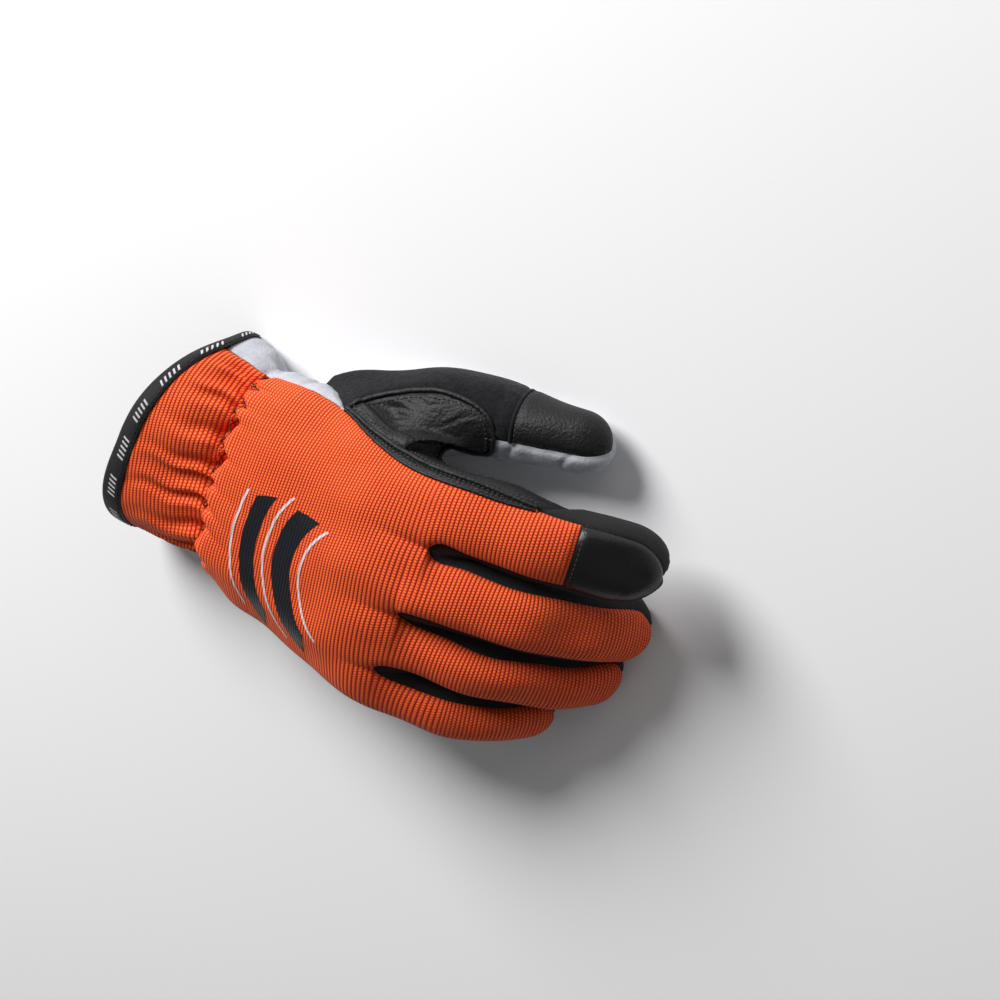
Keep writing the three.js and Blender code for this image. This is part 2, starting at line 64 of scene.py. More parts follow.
fingers = {
    "power": 2.4, "taper": 0.9, "round": 1.15, "jointReach": (14, 11, 9),
    "backSpan": 62, "palmSpan": 60, "behind": 60,
    # x, y, z, lean, turn, bends, bones, half width, half height
    "list": [
        (88, 41, 6, 4, -6, (16, 16, 11), (41, 25, 23), 15, 13),
        (86, 9, 10, 1.5, -4, (23, 29, 19), (46, 29, 26), 13.8, 13),
        (80, -18.5, 5, -4, 6, (20, 29, 20), (44, 29, 26.5), 12.8, 12.5),
        (72, -43, 0, -9, 16, (17, 27, 18), (36, 22, 25), 11.6, 11.5),
    ],
}
slots = {
    "starts": (96, 92, 88), "open": 5, "pull": 2.5, "lag": 20, "lagLength": 32,
    # each slot widens near its start, in mm, then leans shut or open by a share of its width
    "bulb": (1.3, 2.6, 2.6), "bulbAt": 5, "bulbReach": 8,
    "hug": (0.3, -0.15, -0.15), "hugRise": 14, "hugEnd": 150, "hugFade": 30,
}
seams = {"thumbSide": 80, "littleSide": 88, "rays": (26, -4, -34)}
littleStrip = {"start": 61, "length": 30, "back": 14, "palm": 12}
hole = {
    "start": 12, "lipEnd": 40, "end": 73, "upper": 112, "backEdge": 74, "palmReach": 22, "palmEnd": 62,
    "backLength": 20, "riseLength": 26, "fallStart": 56, "fallLength": 26,
}
turns = {"back": 66, "backLength": 42, "palm": 78, "palmLength": 44}
thumb = {
    "power": 2.15, "round": 13, "flareEnd": 88, "flareReach": 9, "flareFade": 24,
    "webTurn": 1.4, "webStart": 60, "webLength": 15, "patchStart": 94,
    "ring": {"start": -105, "lipEnd": -60, "back": 75, "palm": 105, "finish": 255},
    "inner": 12, "outer": -130, "tongueTop": 76, "tongueUnder": 66, "tonguePower": 2.6,
    # x, y, z, half width, half height
    "sections": [
        (12, 32, -5, 21, 19),
        (30, 45, -9, 20, 18.5),
        (48, 55, -14, 18.5, 17.5),
        (66, 60, -20, 17, 16),
        (80, 63, -25, 15.5, 14.5),
        (94, 65.5, -29.5, 14, 13),
        (108, 68, -33, 12.4, 11.6),
        (129, 72, -37.5, 10.8, 10.2),
    ],
}
indexPatchStart = 55
crotchBand = {
    "start": 40, "end": 127, "thick": 0.7, "columns": 8, "roll": 0.75, "rollSink": 0.35,
    # x, width over the knit
    "widths": [(40, 0.9), (55, 2.6), (75, 4.2), (95, 4.3), (110, 3.8), (120, 2.8), (127, 1.3)],
}
knit = {
    "rib": 1.42, "braid": 1.15, "depth": 0.45, "cuff": 0.88, "hand": 1.05, "fingers": 0.9,
    # the groove colour is painted shade in the hollows between the ribs, the top colour a painted highlight
    # on the bead tops
    "shadedGroove": (0.26, 0.007, 0.0015), "ridge": (0.78, 0.043, 0.006), "top": (1.0, 0.2, 0.036),
}
mesh = {
    "row": 0.8, "columns": 24, "sideColumns": 9, "sweeps": 18,
    "flareRows": 56, "bridgeRows": 5, "tipRows": 19,
}
mm = 0.001


def mix(a, b, w):
    return a + (b - a) * w


def clamp01(v):
    return np.clip(v, 0, 1)


def smooth(v):
    v = clamp01(v)
    return v * v * (3 - 2 * v)


def power(v, p):
    return np.sign(v) * np.abs(v) ** p


def roundOpen(v):
    return np.sqrt(1 - (1 - clamp01(v)) ** 2)


def sinD(angle):
    return np.sin(np.radians(angle))


def cosD(angle):
    return np.cos(np.radians(angle))


def stack(x, y, z):
    return np.stack(np.broadcast_arrays(x, y, z), axis=-1)


def unit(v):
    return v / np.maximum(np.linalg.norm(v, axis=-1, keepdims=True), 1e-9)


# A smooth curve through one column of a table whose first column is x
def curveOf(rows, column):
    xs = np.array([row[0] for row in rows], float)
    ys = np.array([row[column] for row in rows], float)
    places = np.arange(len(xs))
    before = np.maximum(places - 1, 0)
    after = np.minimum(places + 1, len(xs) - 1)
    slopes = (ys[after] - ys[before]) / (xs[after] - xs[before])

    def value(v):
        u = np.clip(v, xs[0], xs[-1])
        i = np.clip(np.searchsorted(xs, u, side="right") - 1, 0, len(xs) - 2)
        h = xs[i + 1] - xs[i]
        t = (u - xs[i]) / h
        start = (2 * t**3 - 3 * t**2 + 1) * ys[i] + (t**3 - 2 * t**2 + t) * h * slopes[i]
        return start + (3 * t**2 - 2 * t**3) * ys[i + 1] + (t**3 - t**2) * h * slopes[i + 1]

    return value


midY, handWidth, handBack, handPalm, midZ = [curveOf(hand["sections"], c) for c in range(1, 6)]


def handPoint(x, angle):
    s = sinD(angle)
    c = cosD(angle)
    edge = cuff["length"] - cuff["slant"] * s + cuff["bow"] * c * c
    height = np.where(c > 0, handBack(x), handPalm(x))
    along = np.where(x < 0, x * edge / cuff["length"], x)
    across = midY(x) + handWidth(x) * power(s, 2 / hand["power"])
    return stack(along, across, midZ(x) + height * power(c, 2 / hand["power"]))


def rotation(axis, degrees):
    return np.array(Matrix.Rotation(math.radians(degrees), 3, axis))


class Finger:
    def __init__(self, x, y, z, lean, turn, bends, bones, width, height):
        self.x, self.width, self.height = x, width, height
        self.bends = bends
        self.joints = (0, bones[0], bones[0] + bones[1])
        self.length = sum(bones)
        self.round = width * fingers["taper"] * fingers["round"]
        self.start = self.length - self.round
        self.root = np.array((x, y, z), float)
        self.turned = rotation("Z", lean) @ rotation("X", turn)
        steps = np.arange(-fingers["behind"], self.length, 1.0)
        fall = self.fall(steps + 0.5)
        self.lineX = np.concatenate([[0], np.cumsum(np.cos(fall))]) - fingers["behind"]
        self.lineZ = np.concatenate([[0], np.cumsum(np.sin(fall))])

    def fall(self, t):
        total = 0
        for bend, joint, reach in zip(self.bends, self.joints, fingers["jointReach"]):
            total = total - math.radians(bend) * smooth((t - joint + reach) / (2 * reach))
        return total

    def place(self, t, y, z):
        at = np.clip(t + fingers["behind"], 0, len(self.lineX) - 1.001)
        i = np.floor(at).astype(int)
        a = self.fall(t)
        x = mix(self.lineX[i], self.lineX[i + 1], at - i) - z * np.sin(a)
        up = mix(self.lineZ[i], self.lineZ[i + 1], at - i) + z * np.cos(a)
        return stack(x, y, up) @ self.turned.T + self.root

    def shrink(self, t):
        return mix(1, fingers["taper"], clamp01(t / self.length))

    def face(self, t, y, side):
        p = fingers["power"]
        out = clamp01((t - self.start) / self.round)
        r = np.minimum(np.hypot(y, out), 1)
        z = side * self.height * self.shrink(t) * (1 - r**p) ** (1 / p)
        return self.place(t, y * self.width * self.shrink(t), z)

    def flank(self, t, angle, sweep, side):
        p = fingers["power"]
        r = np.abs(sinD(angle)) ** (2 / p)
        end = np.where(sweep > 0, self.start + self.round * r * sinD(sweep), t)
        y = side * r * cosD(sweep) * self.width * self.shrink(end)
        return self.place(end, y, self.height * self.shrink(end) * power(cosD(angle), 2 / p))


fingerList = [Finger(*row) for row in fingers["list"]]


def lag(x):
    return slots["lag"] * smooth((x - littleStrip["start"]) / slots["lagLength"])


# Stations along the hand and a finger: place on the back, place on the palm, sweep round the end
keyStations = [-29, -20, 0, hole["start"], hole["lipEnd"], littleStrip["start"], hole["end"]]
keyStations += [slots["starts"][2], slots["starts"][1], slots["starts"][0], 110]


def commonStations():
    xs = []
    for a, b in zip(keyStations, keyStations[1:]):
        xs.extend(np.linspace(a, b, max(round((b - a) / mesh["row"]), 1) + 1)[:-1])
    return np.array(xs + [keyStations[-1]])


common = commonStations()


def rowsOf(k):
    finger = fingerList[k]
    end = finger.x + finger.start
    last = common[-1]
    steps = max(round((end - last) / mesh["row"]), 2)
    shares = np.arange(1, steps + 1) / steps
    if k == 0:
        patch = (finger.x + indexPatchStart - last) / (end - last)
        shares[np.argmin(np.abs(shares - patch))] = patch
    sweeps = np.linspace(0, 90, mesh["sweeps"] + 1)[1:]
    stop = np.full(len(sweeps), end)
    back = np.concatenate([common, mix(last, end, shares), stop])
    palm = np.concatenate([common + lag(common), mix(last + lag(last), end, shares), stop])
    return back, palm, np.concatenate([np.zeros(len(common) + steps), sweeps])


def rayEdges(x, side):
    strip = roundOpen((x - littleStrip["start"]) / littleStrip["length"])
    if side > 0:
        top = mix(seams["thumbSide"], hole["backEdge"], smooth((x - hole["lipEnd"]) / hole["backLength"]))
        rays = [ray + 0 * x for ray in seams["rays"]]
        return [top, *rays, littleStrip["back"] * strip - seams["littleSide"]]
    rise = roundOpen((x - hole["start"]) / hole["riseLength"])
    fall = smooth((x - hole["fallStart"]) / hole["fallLength"])
    inner = mix(mix(180 - hole["upper"], hole["palmReach"], rise), hole["palmEnd"], fall)
    outer = seams["littleSide"] - 180
    share = (inner - outer) / (180 - hole["upper"] - outer)
    rays = [outer + (ray - outer) * share for ray in seams["rays"]]
    return [inner, *rays, outer + littleStrip["palm"] * strip]


def rawPoint(k, x, sweep, u, side):
    finger = fingerList[k]
    span = fingers["backSpan"] if side > 0 else fingers["palmSpan"]
    edges = rayEdges(x, side)
    angle = mix(edges[k + 1], edges[k], (u + 1) / 2)
    onHand = handPoint(x, angle if side > 0 else 180 - angle)
    limit = sinD(span) ** (2 / fingers["power"])
    out = finger.round * limit * sinD(sweep)
    y = power(sinD(u * span), 2 / fingers["power"]) * cosD(sweep)
    own = finger.face(x - finger.x + out, y, side)
    face = "back" if side > 0 else "palm"
    return mix(onHand, own, smooth((x - turns[face]) / turns[face + "Length"])[..., None])


def closing(x, slot, side):
    start = slots["starts"][slot] + (0 if side > 0 else lag(slots["starts"][slot]))
    opened = roundOpen((x - start) / slots["open"])
    hug = slots["hug"][slot] * smooth((x - start) / slots["hugRise"])
    hug = hug * (1 - smooth((x - slots["hugEnd"]) / slots["hugFade"]))
    return 1 - opened * (1 - hug)


# How far a slot's edges draw apart near its start
def bulbAt(x, slot, gap):
    start = slots["starts"][slot]
    opened = roundOpen((x - start) / slots["open"])
    reach = slots["bulb"][slot] * np.exp(-((x - start - slots["bulbAt"]) / slots["bulbReach"]) ** 2)
    return unit(gap) * (0.5 * reach * opened)[..., None]


def panelPoint(k, row, u, side):
    back, palm, sweep = row
    x = back if side > 0 else palm
    point = rawPoint(k, x, sweep, u, side)
    for edge, slot, other in ((1, k - 1, k - 1), (-1, k, k + 1)):
        if slot < 0 or slot > 2:
            continue
        w = np.where(sweep > 0, 0, closing(x, slot, side))
        mine = rawPoint(k, x, sweep, edge, side)
        theirs = rawPoint(other, x, 0 * sweep, -edge, side)
        pull = ((1 + edge * u) / 2) ** slots["pull"]
        point = point + (theirs - mine) * (0.5 * w * pull)[..., None]
        if side > 0:
            point = point - bulbAt(x, slot, theirs - mine) * (pull + 0 * x)[..., None]
    return point


def flankPoint(k, row, b, side):
    back, palm, sweep = row
    finger = fingerList[k]
    x = mix(back, palm, b)
    top = rawPoint(k, back, sweep, side, 1)
    under = rawPoint(k, palm, sweep, side, -1)
    angle = mix(fingers["backSpan"], 180 - fingers["palmSpan"], b)
    own = finger.flank(x - finger.x, angle, sweep, side)
    topOwn = finger.flank(back - finger.x, fingers["backSpan"], sweep, side)
    underOwn = finger.flank(palm - finger.x, 180 - fingers["palmSpan"], sweep, side)
    b = (b + 0 * back)[..., None]
    bulge = own - mix(topOwn, underOwn, b)
    if k == 3 and side < 0:
        bulge = bulge * roundOpen((x - littleStrip["start"]) / littleStrip["length"])[..., None]
    return mix(top, under, b) + bulge


def sidePoint(k, row, b, side):
    back, palm, sweep = row
    point = flankPoint(k, row, b, side)
    slot = k - 1 if side > 0 else k
    if slot < 0 or slot > 2:
        return point
    w = np.where(sweep > 0, 0, mix(closing(back, slot, 1), closing(palm, slot, -1), b))
    other = k - 1 if side > 0 else k + 1
    theirs = flankPoint(other, (back, palm, 0 * sweep), b, -side)
    bulb = bulbAt(back + 0 * b, slot, theirs - point) * (1 - b + 0 * back)[..., None]
    return mix(point, theirs, 0.5 * w[..., None]) - bulb


thumbY, thumbZ, thumbWidth, thumbHeight = [curveOf(thumb["sections"], c) for c in range(1, 5)]
thumbTip = thumb["sections"][-1][0]


def thumbTube(x, angle):
    def centre(v):
        return stack(v, thumbY(v), thumbZ(v))

    at = np.minimum(x, thumbTip - 1)
    ahead = unit(centre(at + 0.5) - centre(at - 0.5))
    up = unit(np.array((0, 0, 1.0)) - ahead * ahead[..., 2:3])
    inward = np.cross(ahead, up)
    shrink = np.sqrt(np.maximum(1 - clamp01((x - thumbTip + thumb["round"]) / thumb["round"]) ** 2, 0))
    side = thumbWidth(x) * shrink * power(sinD(angle), 2 / thumb["power"])
    rise = thumbHeight(x) * shrink * power(cosD(angle), 2 / thumb["power"])
    return centre(x + 0 * angle) + inward * side[..., None] + up * rise[..., None]


def lipAngle(x):
    return mix(hole["upper"], seams["thumbSide"], (x - hole["start"]) / (hole["lipEnd"] - hole["start"]))


def handNormal(x, angle):
    ahead = handPoint(x + 1, angle) - handPoint(x - 1, angle)
    return unit(np.cross(ahead, handPoint(x, angle + 1) - handPoint(x, angle - 1)))


# The thumb hole's edge as a closed loop: points, the way the skin runs in, angles round the thumb
def holeLoop():
    ring = thumb["ring"]
    back, palm, sweep = rowsOf(0)
    first, lip, last = [int(np.argmin(np.abs(back - hole[key]))) for key in ("start", "lipEnd", "end")]
    points, normals, angles = [], [], []

    def put(point, normal, angle):
        points.append(point)
        normals.append(normal)
        angles.append(angle)

    j = np.arange(first, lip)
    put(handPoint(back[j], lipAngle(back[j])), handNormal(back[j], lipAngle(back[j])),
        mix(ring["start"], ring["lipEnd"], (j - first) / (lip - first)))
    j = np.arange(lip, last)
    row = (back[j], palm[j], sweep[j])
    put(panelPoint(0, row, 1, 1), handNormal(back[j], rayEdges(back[j], 1)[0]),
        mix(ring["lipEnd"], ring["back"], (j - lip) / (last - lip)))
    b = np.linspace(0, 1, mesh["sideColumns"])
    row = (back[last] + 0 * b, palm[last] + 0 * b, 0 * b)
    put(sidePoint(0, row, b, 1), np.tile((0.0, 1.0, 0.0), (len(b), 1)), mix(ring["back"], ring["palm"], b))
    j = np.arange(last - 1, first, -1)
    row = (back[j], palm[j], sweep[j])
    put(panelPoint(0, row, 1, -1), handNormal(palm[j], 180 - rayEdges(palm[j], -1)[0]),
        mix(ring["palm"], ring["finish"], (last - j) / (last - first)))
    points, normals, angles = np.vstack(points), np.vstack(normals), np.concatenate(angles)
    run = unit(np.cross(normals, np.roll(points, -1, axis=0) - np.roll(points, 1, axis=0)))
    outward = thumb["webTurn"] * smooth((points[:, 0] - thumb["webStart"]) / thumb["webLength"])
    return points, unit(run + normals * outward[:, None]), angles, lip - first


def flarePoint(points, runs, share, angle):
    tube = thumbTube(mix(points[:, 0], thumb["flareEnd"], share), angle)
    reach = thumb["flareReach"] * smooth((points[:, 0] - hole["start"]) / thumb["flareFade"])
    out = points + runs * (reach * np.sin(share * np.pi * 0.75))[:, None]
    return mix(out, tube, smooth(share)[:, None])


# Every panel's outer faces in one pool of points, so neighbours share their seams
class Pool:
    def __init__(self):
        self.points = []
        self.count = 0
        self.grids = []

    # grid of points (rows, columns); turned where its faces would look inwards
    def add(self, name, grid, turned, uv):
        index = np.arange(grid.shape[0] * grid.shape[1]).reshape(grid.shape[:2]) + self.count
        self.points.append(grid.reshape(-1, 3))
        self.count += index.size
        self.grids.append((name, index, turned, np.broadcast_to(uv, (*grid.shape[:2], 2))))

    def weld(self):
        flat = np.vstack(self.points)
        keys = np.round((flat + 0.00137) / 0.01).astype(np.int64)
        _, firstOf, inverse = np.unique(keys, axis=0, return_index=True, return_inverse=True)
        inverse = inverse.reshape(-1)
        self.base = flat[firstOf]
        self.faces, self.uvs, self.places = {}, {}, {}
        for name, index, turned, uv in self.grids:
            q = inverse[index]
            self.places.setdefault(name, []).append(q)
            corners = [q[:-1, :-1], q[1:, :-1], q[1:, 1:], q[:-1, 1:]]
            quads = np.stack(corners[::-1] if turned else corners, axis=-1).reshape(-1, 4)
            self.faces.setdefault(name, []).append(quads)
            uvHere = self.uvs.setdefault(name, np.zeros((len(self.base), 2)))
            uvHere[q.reshape(-1)] = uv.reshape(-1, 2)
        for name, quads in self.faces.items():
            quads = np.vstack(quads)
            a, b, c, d = [self.base[quads[:, i]] for i in range(4)]
            self.faces[name] = quads[np.linalg.norm(np.cross(c - a, d - b), axis=1) > 1e-5]

    def normalsOf(self, points):
        total = np.zeros_like(points)
        for quads in self.faces.values():
            a, b, c, d = [points[quads[:, i]] for i in range(4)]
            way = unit(np.cross(c - a, d - b))
            for i in range(4):
                np.add.at(total, quads[:, i], way)
        return unit(total)


def chordAcross(grid):
    steps = np.linalg.norm(np.diff(grid, axis=1), axis=2)
    return np.concatenate([np.zeros((grid.shape[0], 1)), np.cumsum(steps, axis=1)], axis=1)


def alongOf(grid):
    middle = grid[:, grid.shape[1] // 2]
    return np.concatenate([[0], np.cumsum(np.linalg.norm(np.diff(middle, axis=0), axis=1))])


def uvOf(across, along):
    return np.stack(np.broadcast_arrays(across, along[:, None]), axis=-1)


pool = Pool()
u = np.linspace(-1, 1, mesh["columns"] + 1)[None, :]


def column(row):
    return tuple(part[:, None] for part in row)


# Surface coordinates in mm: columns of the knit run on from the cuff to each fingertip
def panelUvs(grids, rows):
    chords = [chordAcross(grid) for grid in grids]
    half = mesh["columns"] // 2
    last = len(common)
    # the line between the middle and the ring finger is the one the columns are counted from
    starts = {1: 0 * common, 2: -chords[2][:last, -1]}
    starts[0] = starts[1] + chords[1][:last, -1]
    starts[3] = starts[2] - chords[3][:last, -1]
    uvs = []
    for k, chord in enumerate(chords):
        middle = starts[k] + chord[:last, half]
        hold = int(np.argmin(np.abs(common - slots["starts"][min(k, 2)])))
        middle[hold:] = middle[hold]
        middle = np.pad(middle, (0, len(chord) - last), mode="edge")[:, None]
        along = alongOf(grids[k])
        along = np.concatenate([common, along[last:] - along[last - 1] + common[-1]])
        stretch = mix(knit["hand"], knit["fingers"], smooth((along[1:] - 55) / 45))
        along = np.concatenate([[along[0]], along[0] + np.cumsum(np.diff(along) * stretch)])
        uv = np.array(uvOf(middle + chord - chord[:, half][:, None], along))
        inCuff = rows[k][0] < 0
        wrist = along[np.argmin(np.abs(common))]
        uv[inCuff, :, 1] = grids[k][inCuff, :, 0] * knit["cuff"] + wrist
        uvs.append(uv)
    return uvs


def addPanels(side):
    rows = [rowsOf(k) for k in range(4)]
    grids = [panelPoint(k, column(rows[k]), u, side) for k in range(4)]
    for k, (grid, uv) in enumerate(zip(grids, panelUvs(grids, rows))):
        if side > 0 and k == 0:
            patch = int(np.argmin(np.abs(rows[0][0] - fingerList[0].x - indexPatchStart) + rows[0][2]))
            pool.add("backPanel", grid[: patch + 1], False, uv[: patch + 1])
            pool.add("indexTip", grid[patch:], False, uv[patch:])
        else:
            pool.add("backPanel" if side > 0 else "palmPanel", grid, side < 0, uv)


def addLip():
    back = rowsOf(0)[0]
    back = back[: int(np.argmin(np.abs(back - hole["lipEnd"]))) + 1]
    end = np.where(back < hole["start"], hole["upper"], lipAngle(back))
    share = np.linspace(0, 1, mesh["sideColumns"])[None, :]
    grid = handPoint(back[:, None], mix(seams["thumbSide"], end[:, None], share))
    pool.add("palmPanel", grid, False, uvOf(chordAcross(grid), back))


def addSides():
    b = np.linspace(0, 1, mesh["sideColumns"])[None, :]

    def strip(name, k, side, start, end=None):
        rows = rowsOf(k)
        first = int(np.argmin(np.abs(rows[0] - start)))
        last = int(np.argmin(np.abs(rows[0] - end))) + 1 if end else None
        rows = tuple(part[first:last] for part in rows)
        grid = sidePoint(k, column(rows), b, side)
        pool.add(name, grid, side < 0, uvOf(chordAcross(grid), alongOf(grid)))

    strip("crotchStrip", 0, 1, hole["end"], crotchBand["end"])
    strip("indexOuterSide", 0, 1, crotchBand["end"])
    for i, name in enumerate(("indexMiddleSide", "middleRingSide", "ringLittleSide")):
        strip(name, i, -1, slots["starts"][i])
        strip(name, i + 1, 1, slots["starts"][i])
    strip("littleOuterSide", 3, -1, littleStrip["start"])


def addThumb():
    ring = thumb["ring"]
    inner = thumb["inner"]
    points, runs, angles, lipPlace = holeLoop()
    points = np.vstack([points, points[:1]])
    runs = np.vstack([runs, runs[:1]])
    angles = np.append(angles, ring["finish"])
    palmPlace = int(np.argmax(angles >= ring["palm"] - 1e-6))

    def close(share):
        return np.sqrt(np.maximum(1 - share ** thumb["tonguePower"], 0))

    def tongueTop(share):
        return inner - mix(inner - ring["lipEnd"], thumb["tongueTop"], smooth(3 * share)) * close(share)

    def tongueUnder(share):
        return inner + mix(ring["palm"] - inner, thumb["tongueUnder"], smooth(2 * share)) * close(share)

    def outer(share):
        return mix(ring["start"], thumb["outer"], smooth(share))

    flareShares = np.linspace(0, 1, mesh["flareRows"]) ** 1.15
    roundStart = thumbTip - thumb["round"]
    stations = np.arange(thumb["patchStart"], roundStart, 1.0)
    stations = np.append(stations, roundStart + thumb["round"] * sinD(np.linspace(0, 90, mesh["tipRows"])))

    def piece(name, first, last, low, high, patch):
        here = slice(first, last + 1)
        shares = (angles[here] - angles[first]) / (angles[last] - angles[first])
        flare = np.stack([flarePoint(points[here], runs[here], s + 0 * shares, mix(low(s), high(s), shares))
                          for s in flareShares])
        if patch is None:
            pool.add(name, flare, True, uvOf(chordAcross(flare), alongOf(flare)))
            return
        at = stations[:, None]
        tube = thumbTube(at + 0 * shares, mix(low(1), high(1), shares)[None, :] + 0 * at)
        # a few rows carry the last flare row over to the patch seam
        steps = np.linspace(0, 1, mesh["bridgeRows"] + 2)[1:-1]
        bridge = np.stack([mix(flare[-1], tube[0], step) for step in steps])
        whole = np.vstack([flare, bridge, tube[:1]])
        if patch:
            pool.add(name, whole, True, uvOf(chordAcross(whole), alongOf(whole)))
            pool.add(patch, tube, True, uvOf(chordAcross(tube), alongOf(tube)))
        else:
            whole = np.vstack([whole, tube[1:]])
            pool.add(name, whole, True, uvOf(chordAcross(whole), alongOf(whole)))

    piece("thumbBack", 0, lipPlace, outer, tongueTop, "thumbTip")
    piece("crotchPatch", lipPlace, palmPlace, tongueTop, tongueUnder, None)
    piece("thumbPalm", palmPlace, len(angles) - 1, tongueUnder, lambda share: outer(share) + 360, "")


addPanels(1)
addPanels(-1)
addLip()
addSides()
addThumb()
pool.weld()
print("skin", len(pool.base), "points", {name: len(quads) for name, quads in pool.faces.items()})


# Folds, gathers and sewn grooves, as heights in millimetres over the plain skin
relief = {
    "seamDepth": 1.0, "seamReach": 1.7, "sidePuff": 1.7,
    # the wrist: scallops, the puffed knit over them, the cuff's folds and its broad ripple
    "pleats": 12, "gatherSwing": 5, "gatherMiddle": 0.6, "gatherDepth": 2.5, "gatherReach": 1.3,
    "puff": 5.4, "puffRise": 6.5, "puffReach": 14, "valley": 1.9, "valleyReach": 3,
    "balloon": 5.0, "balloonSide": -85, "balloonStart": 8, "balloonReach": 20, "balloonRise": 9,
    "fold": 4.8, "foldReach": 16, "foldEdge": 5, "foldFade": 12, "palmGather": 0.35,
    "cuffRipple": 1.6, "rippleKept": 0.35, "rippleStart": 14, "rippleFade": 18,
    # the leather: lumps, creases and grain, each with its size; the ball of the thumb's dent
    "lumps": 0.6, "lumpSize": 26, "creases": 1.0, "creaseSize": 60, "grain": 0.2, "grainSize": 13,
    "dent": 2.2, "dentAt": (34, 40), "dentReach": (15, 12),
    # the crotch: stitched band, its puckers, the hollow and the creases out from its middle
    "welt": 0.9, "weltWidth": 6.5, "pucker": 0.22, "puckerAt": 3.4, "puckerReach": 1.6,
    "hollow": 2.6, "hollowAt": 11, "hollowReach": 4, "hollowEnd": 66, "radial": 0.3, "wrinkle": 0.12,
}
memberOf = {name: np.zeros(len(pool.base), bool) for name in pool.faces}
for name, quads in pool.faces.items():
    memberOf[name][quads.reshape(-1)] = True
memberCount = sum(member.astype(int) for member in memberOf.values())
seamPoints = np.flatnonzero(memberCount > 1)

# Creased corners of the thumb's opening, relaxed until they lie smooth: place, reach, fade
relaxed = {"rounds": 60, "share": 0.6, "spots": [((48, 62, -4), 12, 8), (tuple(handPoint(12, 112)), 4, 5)]}


def neighbours():
    quads = np.vstack(list(pool.faces.values()))
    ends = np.vstack([quads[:, [i, (i + 1) % 4]] for i in range(4)])
    return np.vstack([ends, ends[:, ::-1]])


def relax():
    weight = np.zeros(len(pool.base))
    for place, reach, fade in relaxed["spots"]:
        away = np.linalg.norm(pool.base - np.array(place), axis=1)
        weight = np.maximum(weight, 1 - smooth((away - reach) / fade))
    weight[memberOf["backPanel"] | memberOf["palmPanel"] | memberOf["crotchStrip"]] = 0
    ends = neighbours()
    ends = ends[weight[ends[:, 0]] > 0]
    count = np.bincount(ends[:, 0], minlength=len(weight))[:, None]
    for _ in range(relaxed["rounds"]):
        total = np.zeros_like(pool.base)
        np.add.at(total, ends[:, 0], pool.base[ends[:, 1]])
        step = total / np.maximum(count, 1) - pool.base
        pool.base += step * (weight * relaxed["share"])[:, None]


relax()
baseNormals = pool.normalsOf(pool.base)


def waves(points, size, seed, count=7):
    rng = np.random.default_rng(seed)
    total = np.zeros(len(points))
    for _ in range(count):
        way = unit(rng.normal(size=3)) * rng.uniform(0.7, 1.5) * 2 * np.pi / size
        total += np.sin(points @ way + rng.uniform(0, 2 * np.pi))
    return total / count**0.5


def distanceTo(indices):
    tree = KDTree(len(indices))
    for i, p in zip(indices, pool.base[indices]):
        tree.insert(p, int(i))
    tree.balance()
    return np.array([tree.find(p)[2] for p in pool.base])


def aroundOf(points):
    x = points[:, 0]
    across = (points[:, 1] - midY(x)) / handWidth(x)
    return np.degrees(np.arctan2(across, (points[:, 2] - midZ(x)) / handBack(x)))


seamDistance = distanceTo(seamPoints)
backDistance = distanceTo(np.flatnonzero(memberOf["backPanel"]))


def pleatPhase(around):
    at = around / 180 * relief["pleats"]
    return 2 * np.pi * (at + 0.22 * np.sin(around * 0.11 + 1.0) + 0.12 * np.sin(around * 0.31))


def lobe(around):
    return np.abs(np.sin(pleatPhase(around) / 2))


# scallops: rounded towards the cuff, pointed towards the hand
def gatherLine(around):
    return relief["gatherSwing"] * (relief["gatherMiddle"] - lobe(around))


# broad waves that reach the cuff's edge
def cuffRipple(around, x):
    swing = np.sin(np.radians(around * 4.3 + 20 * np.sin(np.radians(around * 3))) + x * 0.03)
    fade = smooth((-x - relief["rippleStart"]) / relief["rippleFade"])
    return relief["cuffRipple"] * swing * mix(1, relief["rippleKept"], fade)


def gatherRelief(around, x):
    ahead = x - gatherLine(around)
    roundness = lobe(around)
    pinch = relief["gatherDepth"] * np.exp(-(ahead / relief["gatherReach"]) ** 2)
    past = np.maximum(ahead, 0)
    puff = relief["puff"] * smooth(ahead / relief["puffRise"]) * np.exp(-past / relief["puffReach"])
    puff = puff * (0.55 + 0.45 * roundness)
    valley = relief["valley"] * (1 - roundness) ** 1.8 * np.exp(-past / relief["valleyReach"])
    # the cuff's folds start between the scallops and fade towards its edge
    fold = (0.5 + 0.5 * np.cos(pleatPhase(around + 1.5 * np.sin(x * 0.3)))) ** 1.4 - 0.45
    fold = relief["fold"] * fold * np.exp(np.minimum(ahead, 0) / relief["foldReach"])
    edge = cuff["length"] - cuff["slant"] * sinD(around) + cuff["bow"] * cosD(around) ** 2
    fold = fold * smooth((x + edge - relief["foldEdge"]) / relief["foldFade"])
    return np.where(ahead > 0, puff - valley, fold * smooth(-ahead / 2)) - pinch


def bellOf(v, reach):
    return np.exp(-(v / reach) ** 2)


def handRelief(x, around):
    onPalm = memberOf["palmPanel"]
    gathers = gatherRelief(around, x) * np.where(onPalm, relief["palmGather"], 1)
    # the knit balloons over the gather on the little finger's side
    balloon = bellOf(np.maximum(x - relief["balloonStart"], 0), relief["balloonReach"])
    balloon = balloon * smooth((x - gatherLine(around) + 1) / relief["balloonRise"])
    balloon = balloon * np.maximum(cosD(around - relief["balloonSide"]), 0) ** 1.3
    height = gathers + cuffRipple(around, x) * smooth(-x / 8) + relief["balloon"] * balloon
    return np.where((x < 60) & (memberOf["backPanel"] | onPalm), height, 0)


